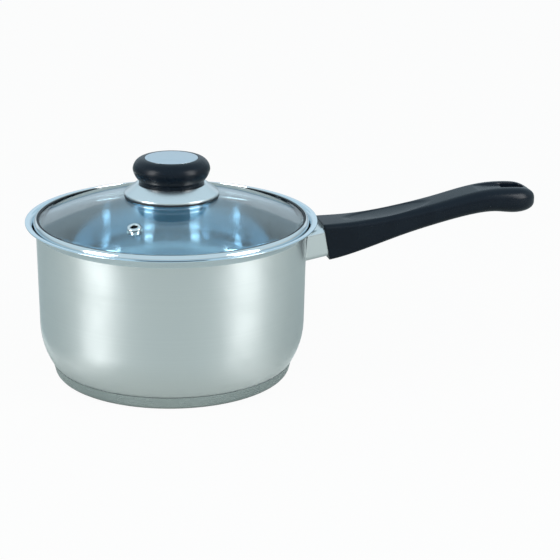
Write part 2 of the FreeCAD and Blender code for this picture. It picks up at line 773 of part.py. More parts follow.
def guard_relief():
    """A cone about Z that trims the guard's end, closer to the wall at its foot."""
    low = wall_foot_height()
    high = FLARE_HEIGHT + RIM_RISE
    foot = FIXING_HEIGHT - NOSE_REACH * sine(SCREW_RISE) - 0.5 * GUARD_HEIGHT
    near = wall_radius(foot) + GUARD_WALL_GAP
    spread = sine(GUARD_LEAN) / cosine(GUARD_LEAN)
    corners = [(0.0, low), (near + (low - foot) * spread, low),
               (near + (high - foot) * spread, high), (0.0, high)]
    return lathe(polygon(corners))


def flame_guard():
    """Steel sleeve over the bracket, with an end wall that the grip presses on."""
    back = -2.0 * NOSE_REACH
    outer = rounded_tube(back, 0.0, GUARD_WIDTH, GUARD_HEIGHT, GUARD_CORNER)
    inner = rounded_tube(back - OVERCUT, -GUARD_SHEET, GUARD_WIDTH - 2.0 * GUARD_SHEET,
                         GUARD_HEIGHT - 2.0 * GUARD_SHEET, GUARD_CORNER - GUARD_SHEET)
    bore = rod(CLEARANCE_BORE_RADIUS, -NOSE_REACH, NOSE_REACH)
    sleeve = along_screw(outer.cut(inner).cut(bore))
    return solid_of(sleeve.cut(guard_relief()))


# Grip ------------------------------------------------------------------------

def grip_x(share):
    return nose_x() + share * GRIP_LENGTH


def section(x, top, bottom, half_width, corner):
    """Rounded rectangle across the grip, always four sides and four corners."""
    corner = min(corner, CORNER_HEIGHT_LIMIT * (top - bottom), CORNER_WIDTH_LIMIT * half_width)
    edges = []
    turns = ((1, 1, 0.0), (-1, 1, 90.0), (-1, -1, 180.0), (1, -1, 270.0))
    centres = []
    for side_y, side_z, angle in turns:
        y = side_y * (half_width - corner)
        z = (top - corner) if side_z > 0 else (bottom + corner)
        centres.append((y, z, angle))
    for index, (y, z, angle) in enumerate(centres):
        stops = []
        for turn in (angle, angle + 45.0, angle + 90.0):
            stops.append(FreeCAD.Vector(x, y + corner * cosine(turn), z + corner * sine(turn)))
        edges.append(Part.Arc(*stops).toShape())
        next_y, next_z, next_angle = centres[(index + 1) % 4]
        after = FreeCAD.Vector(x, next_y + corner * cosine(next_angle), next_z + corner * sine(next_angle))
        edges.append(Part.LineSegment(stops[2], after).toShape())
    return Part.Wire(edges)


def grip_sections():
    """Cross-sections from just behind the nose to the rounded tip."""
    wires = []
    for share, top, bottom, half_width, corner in GRIP_STATIONS:
        x = grip_x(share)
        wires.append(section(x, FIXING_HEIGHT + top, FIXING_HEIGHT + bottom, half_width, corner))
    share, top, bottom, half_width, corner = GRIP_STATIONS[-1]
    start = grip_x(share)
    reach = grip_x(1.0) - start
    for turn in TIP_TURNS:
        shrink = cosine(turn)
        flatter = shrink ** TIP_HEIGHT_POWER
        narrower = shrink ** TIP_WIDTH_POWER
        high = TIP_HEIGHT + (top - TIP_HEIGHT) * flatter
        low = TIP_HEIGHT + (bottom - TIP_HEIGHT) * flatter
        x = start + reach * sine(turn)
        wires.append(section(x, FIXING_HEIGHT + high, FIXING_HEIGHT + low, half_width * narrower,
                             corner * shrink))
    return wires


def grip_top_at(share):
    """Height of the grip's upper face between the two nearest stations."""
    for before, after in zip(GRIP_STATIONS, GRIP_STATIONS[1:]):
        if share <= after[0]:
            blend = (share - before[0]) / (after[0] - before[0])
            return FIXING_HEIGHT + before[1] + blend * (after[1] - before[1])
    return FIXING_HEIGHT + GRIP_STATIONS[-1][1]


def slot_prism(start, end, low, high):
    """Upright slot, flat at the pan side and round at the tip side."""
    body = Part.makeBox(end - SLOT_HALF_WIDTH - start, 2.0 * SLOT_HALF_WIDTH, high - low)
    body.translate(FreeCAD.Vector(start, -SLOT_HALF_WIDTH, low))
    tip = Part.makeCylinder(SLOT_HALF_WIDTH, high - low, FreeCAD.Vector(end - SLOT_HALF_WIDTH, 0, low))
    return solid_of(body.fuse(tip).removeSplitter())


def screw_head_seat():
    """Distance along the screw line from the nose to the seat under its washer."""
    slot_wall = (grip_x(SLOT_START) - nose_x()) / cosine(SCREW_RISE)
    return slot_wall - HEAD_BORE_DEPTH


def handle_grip():
    """Moulded grip with the screw's bore, the hanging slot and its trough."""
    body = Part.makeLoft(grip_sections(), True, False)
    behind_nose = along_screw(centred_box(-GRIP_LENGTH, 0.0, GRIP_LENGTH, GRIP_LENGTH))
    top = grip_top_at(SLOT_START)
    slot = slot_prism(grip_x(SLOT_START), grip_x(SLOT_END), top - GRIP_LENGTH, top + GRIP_LENGTH)
    trough = slot_prism(grip_x(TROUGH_START), grip_x(SLOT_END), top - TROUGH_DEPTH, top + GRIP_LENGTH)
    seat = screw_head_seat()
    slot_end = (grip_x(SLOT_END) - nose_x()) / cosine(SCREW_RISE)
    bore = along_screw(rod(CLEARANCE_BORE_RADIUS, -NOSE_REACH, seat + OVERCUT))
    head_bore = along_screw(rod(HEAD_BORE_RADIUS, seat, slot_end - SLOT_HALF_WIDTH))
    for cutter in (behind_nose, slot, trough, bore, head_bore):
        body = body.cut(cutter)
    return solid_of(body)


def handle_screw_washer():
    seat = screw_head_seat()
    blank = rod(HANDLE_WASHER_RADIUS, seat, seat + HANDLE_WASHER_THICKNESS)
    past = seat + HANDLE_WASHER_THICKNESS + OVERCUT
    return along_screw(blank.cut(rod(CLEARANCE_BORE_RADIUS, seat - OVERCUT, past)))


def handle_screw():
    """Long screw from the slot through the grip into the bracket's nut."""
    head_face = screw_head_seat() + HANDLE_WASHER_THICKNESS
    nut_back = GUARD_SHEET + BRACKET_SHEET + NUT_HEIGHT
    made = screw(head_face + nut_back)
    made.rotate(ORIGIN, FreeCAD.Vector(0, 1, 0), -90.0)
    made.translate(FreeCAD.Vector(head_face, 0, 0))
    return along_screw(made)


NODES = {
    "pan_shell": pan_shell,
    "base_core": base_core,
    "base_cover": base_cover,
    "handle_bracket": handle_bracket,
    "bracket_nut": bracket_nut,
    "flame_guard": flame_guard,
    "handle_grip": handle_grip,
    "handle_screw": handle_screw,
    "handle_screw_washer": handle_screw_washer,
    "lid_glass": lid_glass,
    "lid_band": lid_band,
    "band_seal": band_seal,
    "vent_eyelet": vent_eyelet,
    "vent_gasket": vent_gasket,
    "vent_washer": vent_washer,
    "knob_skirt": knob_skirt,
    "skirt_gasket": skirt_gasket,
    "knob_body": knob_body,
    "knob_cap": knob_cap,
    "knob_insert": knob_insert,
    "hole_grommet": hole_grommet,
    "knob_gasket_lower": knob_gasket_lower,
    "knob_washer": knob_washer,
    "knob_spring_washer": knob_spring_washer,
    "knob_screw": knob_screw,
}


def main():
    os.makedirs("parts", exist_ok=True)
    for name, make in NODES.items():
        shape = make()
        shape.exportStep("parts/" + name + ".step")
        box = shape.BoundBox
        print("%-20s valid=%s volume=%.1f x %.1f..%.1f z %.2f..%.2f"
              % (name, shape.isValid(), shape.Volume, box.XMin, box.XMax, box.ZMin, box.ZMax))


if __name__ == "__main__":
    main()
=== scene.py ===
"""Looks of a steel saucepan with a domed glass lid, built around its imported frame.

Profile sizes are in millimetres and angles in degrees; every mesh is made in metres.
Places come from the frame's own nodes, and each turned piece is one outline spun about Z.
"""

from __future__ import annotations

import json
import logging
import math
from collections.abc import Callable
from dataclasses import dataclass
from enum import Enum

import bmesh
import bpy
from mathutils import Matrix, Vector

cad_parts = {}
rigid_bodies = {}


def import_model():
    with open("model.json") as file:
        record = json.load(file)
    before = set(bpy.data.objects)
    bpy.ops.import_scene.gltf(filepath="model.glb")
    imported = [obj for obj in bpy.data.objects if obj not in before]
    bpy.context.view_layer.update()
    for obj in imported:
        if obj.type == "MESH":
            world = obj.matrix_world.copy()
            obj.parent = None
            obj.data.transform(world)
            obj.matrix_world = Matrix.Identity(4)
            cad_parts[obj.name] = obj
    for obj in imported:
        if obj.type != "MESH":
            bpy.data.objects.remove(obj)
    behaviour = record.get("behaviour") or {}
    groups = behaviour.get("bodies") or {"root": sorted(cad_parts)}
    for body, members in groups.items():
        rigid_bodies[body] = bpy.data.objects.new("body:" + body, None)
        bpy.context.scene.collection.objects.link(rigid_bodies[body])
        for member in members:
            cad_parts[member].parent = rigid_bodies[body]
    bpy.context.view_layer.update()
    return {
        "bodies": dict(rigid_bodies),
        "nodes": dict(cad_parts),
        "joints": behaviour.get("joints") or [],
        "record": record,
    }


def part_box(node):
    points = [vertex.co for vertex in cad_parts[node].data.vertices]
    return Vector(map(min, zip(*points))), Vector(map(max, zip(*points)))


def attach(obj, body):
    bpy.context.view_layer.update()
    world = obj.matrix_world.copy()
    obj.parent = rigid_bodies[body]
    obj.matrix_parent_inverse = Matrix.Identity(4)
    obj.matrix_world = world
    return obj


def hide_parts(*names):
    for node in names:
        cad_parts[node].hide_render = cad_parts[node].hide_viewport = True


LOG = logging.getLogger("saucepan")
MM = 0.001
TINY = 1e-6
TRIM_LIMIT = 0.45
CORNER_SHARES = (0.0, 0.25, 0.5, 0.75, 1.0)
WHITE = (1.0, 1.0, 1.0, 1.0)
Colour = tuple[float, float, float]
Object = bpy.types.Object
Material = bpy.types.Material
Socket = bpy.types.NodeSocket


class Body(Enum):
    """The frame's two moving bodies."""

    PAN = "pan"
    LID = "lid"


class Slot(Enum):
    """The record's material slots."""

    SATIN_STEEL = "satin_steel"
    CAPSULE_STEEL = "capsule_steel"
    BRIGHT_STEEL = "bright_steel"
    PLAIN_STEEL = "plain_steel"
    ZINC_STEEL = "zinc_steel"
    ALUMINIUM_CORE = "aluminium_core"
    BRUSHED_DISC = "brushed_disc"
    TURNED_BRASS = "turned_brass"
    BLACK_BAKELITE = "black_bakelite"
    DARK_SILICONE = "dark_silicone"
    TEMPERED_GLASS = "tempered_glass"


class Grain(Enum):
    """Whether the fine marks of a surface run round Z or lie evenly."""

    ROUND = "round"
    EVEN = "even"


def sin(degrees: float) -> float:
    """Sine of an angle in degrees."""
    return math.sin(math.radians(degrees))


def cos(degrees: float) -> float:
    """Cosine of an angle in degrees."""
    return math.cos(math.radians(degrees))


# Places read from the frame


@dataclass(frozen=True)
class Extent:
    """A node's box in millimetres."""

    low: Vector
    high: Vector

    @classmethod
    def of(cls, node: str) -> Extent:
        """Read the box of a node at rest."""
        low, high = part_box(node)
        return cls(low / MM, high / MM)

    @property
    def radius(self) -> float:
        """Largest distance from Z that a turned node reaches."""
        return self.high.x


# Outlines


@dataclass(frozen=True)
class Spot:
    """One point of an outline: distance from Z, height, polish share and thread share."""

    radius: float
    height: float
    polish: float = 0.0
    thread: float = 0.0


class Walk:
    """A path in the lathe plane, walked by straight steps and tangent bends."""

    BEND_STEP = 5.0

    def __init__(
        self, radius: float, height: float, heading: float, offset: float = 0.0, polish: float = 0.0,
    ):
        """Start a path.

        Args:
            radius: distance of the un-offset start from Z.
            height: height of the un-offset start.
            heading: direction in degrees, from outwards towards up.
            offset: how far the walked line lies to the left of the path.
            polish: share of mirror polish of the points that follow.
        """
        self.heading = heading
        self.offset = offset
        self.polish = polish
        turn = math.radians(heading)
        self.radius = radius - offset * math.sin(turn)
        self.height = height + offset * math.cos(turn)
        self.spots = [self._spot()]

    def _spot(self) -> Spot:
        """The present place as an outline point."""
        return Spot(max(self.radius, 0.0), self.height, self.polish)

    def ahead(self, length: float, pieces: int = 1) -> Walk:
        """Walk straight on.

        Args:
            length: how far.
            pieces: how many equal steps the line is divided into.

        Returns:
            The walk itself.
        """
        turn = math.radians(self.heading)
        for _ in range(pieces):
            self.radius += length / pieces * math.cos(turn)
            self.height += length / pieces * math.sin(turn)
            self.spots.append(self._spot())
        return self

    def bend(self, radius: float, turn: float) -> Walk:
        """Walk a tangent arc.

        Args:
            radius: radius of the un-offset path's arc.
            turn: degrees of turn, positive to the left.

        Returns:
            The walk itself.
        """
        side = math.copysign(1.0, turn)
        reach = radius - side * self.offset
        start = math.radians(self.heading)
        centre = (
            self.radius - side * reach * math.sin(start), self.height + side * reach * math.cos(start),
        )
        steps = max(2, math.ceil(abs(turn) / self.BEND_STEP))
        for step in range(1, steps + 1):
            angle = start + math.radians(turn) * step / steps
            self.radius = centre[0] + side * reach * math.sin(angle)
            self.height = centre[1] - side * reach * math.cos(angle)
            self.spots.append(self._spot())
        self.heading += turn
        return self


def sheet_outline(walk: Callable[[float], Walk], thickness: float) -> list[Spot]:
    """Both faces of a turned sheet, out along one and back along the other.

    Args:
        walk: traces a face at a given offset to the left.
        thickness: the sheet's thickness.

    Returns:
        The outline, without its first point repeated.
    """
    return walk(0.0).spots + walk(thickness).spots[::-1]


def softened(spots: list[Spot], radius: float, ring: bool = True, sharp: float = 25.0) -> list[Spot]:
    """Round every sharp corner of an outline.

    Args:
        spots: the outline.
        radius: radius of the rounding, limited by the lines beside it.
        ring: whether the last point joins the first.
        sharp: turn in degrees from which a corner counts as sharp.

    Returns:
        The outline with arcs in place of its corners.
    """
    made: list[Spot] = []
    count = len(spots)
    for index, spot in enumerate(spots):
        here = Vector((spot.radius, spot.height))
        before = spots[index - 1]
        after = spots[(index + 1) % count]
        back = Vector((before.radius, before.height)) - here
        on = Vector((after.radius, after.height)) - here
        at_end = not ring and index in (0, count - 1)
        if at_end or min(back.length, on.length) < TINY:
            made.append(spot)
            continue
        inner = back.angle(on)
        if math.degrees(math.pi - inner) < sharp:
            made.append(spot)
            continue
        trim = min(radius / math.tan(inner / 2), TRIM_LIMIT * back.length, TRIM_LIMIT * on.length)
        start = here + back.normalized() * trim
        end = here + on.normalized() * trim
        for share in CORNER_SHARES:
            place = start.lerp(here, share).lerp(here.lerp(end, share), share)
            made.append(Spot(place.x, place.y, spot.polish, spot.thread))
    return made


def through(start: Spot, middle: Spot, end: Spot, steps: int = 14) -> list[Spot]:
    """Points along the arc through three points.

    Args:
        start: first point, whose shares the whole arc takes.
        middle: a point on the way.
        end: last point.
        steps: how many steps to take.

    Returns:
        The points, both ends among them.
    """
    first, second, third = (Vector((spot.radius, spot.height)) for spot in (start, middle, end))
    ahead, back = second - first, third - first
    turn = 2.0 * (ahead.x * back.y - ahead.y * back.x)
    centre = first + Vector((
        (back.y * ahead.length_squared - ahead.y * back.length_squared) / turn,
        (ahead.x * back.length_squared - back.x * ahead.length_squared) / turn,
    ))
    swept = (third - centre).angle_signed(first - centre)
    if swept * (second - centre).angle_signed(first - centre) < 0.0:
        swept -= math.copysign(math.tau, swept)
    made = []
    for step in range(steps + 1):
        spoke = (first - centre).copy()
        spoke.rotate(Matrix.Rotation(swept * step / steps, 2))
        made.append(Spot(centre.x + spoke.x, centre.y + spoke.y, start.polish, start.thread))
    return made


def dome(radius: float, centre_height: float, start: float, end: float) -> list[Spot]:
    """Points along a ball centred on Z, between two distances from it."""
    steps = max(4, math.ceil(abs(end - start)))
    places = [start + (end - start) * step / steps for step in range(steps + 1)]
    return [Spot(place, centre_height + math.sqrt(radius ** 2 - place ** 2)) for place in places]


# Node trees


class Wiring:
    """Short calls that add nodes to a tree and join them."""

    def __init__(self, tree: bpy.types.NodeTree):
        """Work on one tree."""
        self.tree = tree

    def add(self, kind: str, inputs: dict | None = None, **settings: object) -> bpy.types.Node:
        """Add a node.

        Args:
            kind: the node's type name.
            inputs: values or sockets for its inputs, by name or number.
            settings: properties of the node.

        Returns:
            The new node.
        """
        node = self.tree.nodes.new(kind)
        for name, value in settings.items():
            setattr(node, name, value)
        for key, value in (inputs or {}).items():
            socket = node.inputs[key]
            if isinstance(value, Socket):
                self.tree.links.new(value, socket)
            else:
                socket.default_value = value
        return node

    def out(self, kind: str, inputs: dict | None = None, **settings: object) -> Socket:
        """Add a node and return its first output."""
        return self.add(kind, inputs, **settings).outputs[0]

    def sum(self, operation: str, first: object, second: object = 0.0) -> Socket:
        """Add a maths node and return its result."""
        return self.add("ShaderNodeMath", {0: first, 1: second}, operation=operation).outputs[0]

    def remap(self, value: object, low: object, high: object, start: float = 0.0,
              end: float = 1.0) -> Socket:
        """Map a value that runs from start to end onto low to high."""
        return self.add("ShaderNodeMapRange", {
            "Value": value, "From Min": start, "From Max": end, "To Min": low, "To Max": high,
        }).outputs[0]

    def blend(self, share: object, first: object, second: object) -> Socket:
        """Mix two colours, each a socket or a plain colour."""
        first, second = (
            end if isinstance(end, Socket) else (*end, 1.0) for end in (first, second)
        )
        return self.add("ShaderNodeMix", {0: share, 6: first, 7: second}, data_type="RGBA").outputs[2]

    def from_axis(self, place: Socket) -> Socket:
        """Distance of a place from Z."""
        flat = self.add("ShaderNodeMapping", {"Vector": place, "Scale": (1.0, 1.0, 0.0)}).outputs[0]
        return self.add("ShaderNodeVectorMath", {0: flat}, operation="LENGTH").outputs["Value"]

    def surface(self, inputs: dict) -> bpy.types.Node:
        """Add a principled surface and lead it to the material's output."""
        made = self.add("ShaderNodeBsdfPrincipled", inputs)
        self.add("ShaderNodeOutputMaterial", {0: made.outputs[0]})
        return made

    def shown(self, real: Socket, seen: Socket, share: float) -> Socket:
        """Mix a share of what only the camera sees into what is really there."""
        camera = self.add("ShaderNodeLightPath").outputs["Is Camera Ray"]
        return self.out(
            "ShaderNodeMixShader", {0: self.sum("MULTIPLY", camera, share), 1: real, 2: seen},
        )


def new_socket(
    tree: bpy.types.NodeTree, name: str, kind: str, output: bool = False, value: object = None,
) -> None:
    """Give a tree a named input or output."""
    made = tree.interface.new_socket(
        name, in_out="OUTPUT" if output else "INPUT", socket_type=f"NodeSocket{kind}",
    )
    if value is not None:
        made.default_value = value


class Lathe:
    """Spins outlines about Z with one Geometry Nodes tree."""

    WELD = 1e-6
    SEGMENTS = 192
    CREASE = 32.0

    def __init__(self) -> None:
        """Build the tree once."""
        self.tree = bpy.data.node_groups.new("turned_piece", "GeometryNodeTree")
        for name, kind, value in (
            ("Geometry", "Geometry", None), ("Segments", "Int", self.SEGMENTS),
            ("Crease Angle", "Float", math.radians(self.CREASE)),
            ("Thread Depth", "Float", 0.0), ("Thread Pitch", "Float", MM), ("Finish", "Material", None),
        ):
            new_socket(self.tree, name, kind, value=value)
        new_socket(self.tree, "Geometry", "Geometry", output=True)
        self._wire()

    def _sampled(
        self, wiring: Wiring, outline: object, value: object, index: object, kind: str,
    ) -> object:
        """A value of the outline's point with a given index."""
        taken = {"Geometry": outline, "Value": value, "Index": index}
        return wiring.add(
            "GeometryNodeSampleIndex", taken, data_type=kind, domain="POINT",
        ).outputs["Value"]

    def _wire(self) -> None:
        """Lay a grid of outline points by turns, wrap it about Z and weld it."""
        wiring = Wiring(self.tree)
        given = wiring.add("NodeGroupInput").outputs
        outline, segments = given["Geometry"], given["Segments"]
        count = wiring.add(
            "GeometryNodeAttributeDomainSize", {"Geometry": outline},
        ).outputs["Point Count"]
        columns = wiring.sum("ADD", segments, 1.0)
        shape = wiring.out("GeometryNodeMeshGrid", {"Vertices X": columns, "Vertices Y": count})
        index = wiring.out("GeometryNodeInputIndex")
        row = wiring.sum("FLOORED_MODULO", index, count)
        column = wiring.sum("FLOOR", wiring.sum("DIVIDE", wiring.sum("ADD", index, 0.5), count))
        share = wiring.sum("DIVIDE", column, segments)
        angle = wiring.sum("MULTIPLY", share, math.tau)
        place = self._sampled(
            wiring, outline, wiring.out("GeometryNodeInputPosition"), row, "FLOAT_VECTOR",
        )
        named = {}
        for name in ("polish", "thread", "run"):
            source = wiring.out("GeometryNodeInputNamedAttribute", {"Name": name}, data_type="FLOAT")
            named[name] = self._sampled(wiring, outline, source, row, "FLOAT")
        out, _, up = wiring.add("ShaderNodeSeparateXYZ", {0: place}).outputs
        turns = wiring.sum("DIVIDE", up, given["Thread Pitch"])
        phase = wiring.sum("FLOORED_MODULO", wiring.sum("SUBTRACT", turns, share), 1.0)
        valley = wiring.sum("ABSOLUTE", wiring.sum("SUBTRACT", wiring.sum("MULTIPLY", phase, 2.0), 1.0))
        depth = wiring.sum(
            "MULTIPLY", wiring.sum("MULTIPLY", valley, named["thread"]), given["Thread Depth"],
        )
        radius = wiring.sum("SUBTRACT", out, depth)
        wrapped = wiring.out("ShaderNodeCombineXYZ", {
            0: wiring.sum("MULTIPLY", radius, wiring.sum("COSINE", angle)),
            1: wiring.sum("MULTIPLY", radius, wiring.sum("SINE", angle)),
            2: up,
        })
        chart = wiring.out("ShaderNodeCombineXYZ", {0: share, 1: named["run"]})
        bend = wiring.out("GeometryNodeInputMeshEdgeAngle")
        sharp = wiring.out(
            "FunctionNodeCompare", {0: bend, 1: given["Crease Angle"]}, operation="GREATER_THAN",
        )
        on_corners = {"data_type": "FLOAT2", "domain": "CORNER"}
        on_points = {"data_type": "FLOAT", "domain": "POINT"}
        for kind, inputs, settings in (
            ("StoreNamedAttribute", {"Name": "UVMap", "Value": chart}, on_corners),
            ("StoreNamedAttribute", {"Name": "polish", "Value": named["polish"]}, on_points),
            ("SetPosition", {"Position": wrapped}, {}),
            ("MergeByDistance", {"Distance": self.WELD}, {}),
            ("SetShadeSmooth", {}, {"domain": "FACE"}),
            ("SetShadeSmooth", {"Selection": sharp, "Shade Smooth": False}, {"domain": "EDGE"}),
            ("RealizeInstances", {}, {}),
            ("SetMaterial", {"Material": given["Finish"]}, {}),
        ):
            shape = wiring.out(f"GeometryNode{kind}", {"Geometry": shape, **inputs}, **settings)
        wiring.add("NodeGroupOutput", {0: shape})

    def spin(self, name: str, spots: list[Spot], finish: Material, ring: bool = True,
             at: Matrix | None = None, **sizes: float) -> Object:
        """Turn an outline into a closed mesh.

        Args:
            name: the piece's name.
            spots: the outline in millimetres.
            finish: its material.
            ring: whether the outline closes on itself, or else starts and ends on Z.
            at: where a piece made about Z belongs.
            sizes: values for the tree's inputs, with underscores for spaces.

        Returns:
            The new object, untransformed, its place in its mesh.
        """
        chain = spots + spots[:1] if ring else spots
        outline = bpy.data.meshes.new(f"{name}_outline")
        edges = [(index, index + 1) for index in range(len(chain) - 1)]
        outline.from_pydata([(spot.radius * MM, 0.0, spot.height * MM) for spot in chain], edges, [])
        run = [0.0]
        for before, after in zip(chain, chain[1:]):
            run.append(
                run[-1] + math.hypot(after.radius - before.radius, after.height - before.height) * MM
            )
        shares = {
            "polish": [spot.polish for spot in chain], "thread": [spot.thread for spot in chain],
            "run": run,
        }
        for key, values in shares.items():
            outline.attributes.new(key, "FLOAT", "POINT").data.foreach_set("value", values)
        blank = placed(f"{name}_blank", outline)
        lathe = blank.modifiers.new("lathe", "NODES")
        lathe.node_group = self.tree
        values = {"Finish": finish}
        values.update({key.replace("_", " ").title(): value for key, value in sizes.items()})
        for socket in self.tree.interface.items_tree:
            if socket.in_out == "INPUT" and socket.name in values:
                lathe[socket.identifier] = values[socket.name]
        return baked(name, blank, at)


def placed(name: str, data: bpy.types.ID) -> Object:
    """Put a new object with this data into the scene."""
    made = bpy.data.objects.new(name, data)
    bpy.context.scene.collection.objects.link(made)
    return made


def baked(name: str, blank: Object, at: Matrix | None = None) -> Object:
    """Turn what an object's modifiers show into a plain mesh with outward faces.

    Args:
        name: name of the new object.
        blank: the object to evaluate, which is removed.
        at: a placement to put into the mesh.

    Returns:
        The new object, untransformed.
    """
    bpy.context.view_layer.update()
    graph = bpy.context.evaluated_depsgraph_get()
    mesh = bpy.data.meshes.new_from_object(
        blank.evaluated_get(graph), preserve_all_data_layers=True, depsgraph=graph,
    )
    mesh.name = name
    old = blank.data
    bpy.data.objects.remove(blank)
    bpy.data.meshes.remove(old)
    work = bmesh.new()
    work.from_mesh(mesh)
    bmesh.ops.recalc_face_normals(work, faces=work.faces)
    work.to_mesh(mesh)
    work.free()
    if at is not None:
        mesh.transform(at)
    return placed(name, mesh)


def cut(piece: Object, tool: Object) -> Object:
    """Take a closed tool out of a closed piece.

    Args:
        piece: what is cut; it is replaced.
        tool: what is taken away; it is removed.

    Returns:
        The cut piece under the same name.
    """
    modifier = piece.modifiers.new("cut", "BOOLEAN")
    modifier.object = tool
    modifier.operation = "DIFFERENCE"
    modifier.solver = "EXACT"
    name = piece.name
    piece.name = f"{name}_uncut"
    made = baked(name, piece)
    bpy.data.objects.remove(tool)
    return made


def fit(piece: Object, body: Body, slot: Slot, *nodes: str) -> None:
    """Let a piece ride on its body in place of its nodes.

    Args:
        piece: the finished piece.
        body: the body it moves with.
        slot: the record's slot of its finish; not used.
        nodes: the nodes it stands for.
    """
    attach(piece, body.value)
    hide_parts(*nodes)
    LOG.info("%s: %d faces on %s", piece.name, len(piece.data.polygons), body.value)


# Finishes


class Effects:
    """Shader groups that several finishes share."""

    def __init__(self) -> None:
        """Build every group once."""
        self.lines = {grain: self._lines(grain) for grain in Grain}
        self.handling = self._handling()

    @staticmethod
    def _lines(grain: Grain) -> bpy.types.NodeTree:
        """Fine lines left by turning, or an even fine skin."""
        tree = bpy.data.node_groups.new(f"{grain.value}_lines", "ShaderNodeTree")
        new_socket(tree, "Fineness", "Float", value=2400.0)
        new_socket(tree, "Mask", "Float", output=True)
        wiring = Wiring(tree)
        fineness = wiring.add("NodeGroupInput").outputs["Fineness"]
        place = wiring.add("ShaderNodeTexCoord").outputs["Object"]
        if grain is Grain.ROUND:
            height = wiring.add("ShaderNodeSeparateXYZ", {0: place}).outputs[2]
            place = wiring.out("ShaderNodeCombineXYZ", {0: wiring.from_axis(place), 2: height})
        noise = wiring.out("ShaderNodeTexNoise", {"Vector": place, "Scale": fineness, "Detail": 2.0})
        wiring.add("NodeGroupOutput", {0: noise})
        return tree

    @staticmethod
    def _handling() -> bpy.types.NodeTree:
        """Soft uneven patches of wiping and handling, as a factor around one."""
        tree = bpy.data.node_groups.new("handling", "ShaderNodeTree")
        for name, value in (("Patch Scale", 40.0), ("Least", 0.8), ("Most", 1.2)):
            new_socket(tree, name, "Float", value=value)
        new_socket(tree, "Factor", "Float", output=True)
        wiring = Wiring(tree)
        given = wiring.add("NodeGroupInput")
        place = wiring.add("ShaderNodeTexCoord").outputs["Object"]
        noise = wiring.out("ShaderNodeTexNoise", {
            "Vector": place, "Scale": given.outputs["Patch Scale"], "Detail": 4.0, "Distortion": 0.6,
        })
        spread = wiring.remap(noise, given.outputs["Least"], given.outputs["Most"], 0.3, 0.7)
        wiring.add("NodeGroupOutput", {0: spread})
        return tree


def grouped(wiring: Wiring, tree: bpy.types.NodeTree, values: dict) -> Socket:
    """Place a shader group with its own values and return its first output."""
    node = wiring.add("ShaderNodeGroup", node_tree=tree)
    for name, value in values.items():
        node.inputs[name].default_value = value
    return node.outputs[0]


def new_material(name: str) -> tuple[Material, Wiring]:
    """An empty node material and the wiring of its tree."""
    material = bpy.data.materials.new(name)
    material.use_nodes = True
    material.node_tree.nodes.clear()
    return material, Wiring(material.node_tree)


@dataclass(frozen=True)
class Metal:
    """A bare metal finish with fine lines and handling marks.

    Attributes:
        name: the material's name.
        colour: reflected colour.
        roughness: roughness of the plain surface.
        polished: roughness where the piece's polish share is one.
        grain: which way its lines run.
        fineness: lines per metre, roughly.
        depth: height of the lines in metres.
        contrast: how much the lines change roughness and colour.
        stretch: anisotropy along the turned direction.
        polished_painted_tint: reflected colour where polished; on the pan a bluer tint than its steel,
            painted reflected light on its inside and lip.
    """

    HANDLING = {"Patch Scale": 35.0, "Least": 0.88, "Most": 1.15}
    DARKENING = 0.4
    LIGHTENING = 0.2

    name: str
    colour: Colour
    roughness: float
    polished: float
    grain: Grain = Grain.ROUND
    fineness: float = 2400.0
    depth: float = 2e-6
    contrast: float = 0.12
    stretch: float = 0.0
    polished_painted_tint: Colour | None = None

    def material(self, effects: Effects) -> Material:
        """Build the finish.

        Args:
            effects: the shared shader groups.

        Returns:
            The material.
        """
        material, wiring = new_material(self.name)
        lines = grouped(wiring, effects.lines[self.grain], {"Fineness": self.fineness})
        handled = grouped(wiring, effects.handling, self.HANDLING)
        polish = wiring.add("ShaderNodeAttribute", attribute_name="polish").outputs["Fac"]
        level = wiring.remap(polish, self.roughness, self.polished)
        swing = wiring.remap(lines, 1.0 - self.contrast, 1.0 + self.contrast)
        rough = wiring.sum("MULTIPLY", wiring.sum("MULTIPLY", level, handled), swing)
        shade = wiring.remap(
            lines, 1.0 - self.DARKENING * self.contrast, 1.0 + self.LIGHTENING * self.contrast,
        )
        # Where polished, the colour blends towards the polished tint, which is painted reflected light;
        # the lower roughness there is real.
        base = wiring.blend(polish, self.colour, self.polished_painted_tint or self.colour)
        toned = wiring.out("ShaderNodeVectorMath", {0: base, "Scale": shade}, operation="SCALE")
        bump = wiring.out("ShaderNodeBump", {"Height": lines, "Strength": 1.0, "Distance": self.depth})
        surface = wiring.surface({
            "Base Color": toned, "Metallic": 1.0, "Roughness": rough, "Normal": bump,
            "Anisotropic": self.stretch, "Anisotropic Rotation": 0.25,
        })
        if self.stretch:
            tangent = wiring.out("ShaderNodeTangent", direction_type="UV_MAP", uv_map="UVMap")
            wiring.tree.links.new(tangent, surface.inputs["Tangent"])
        return material


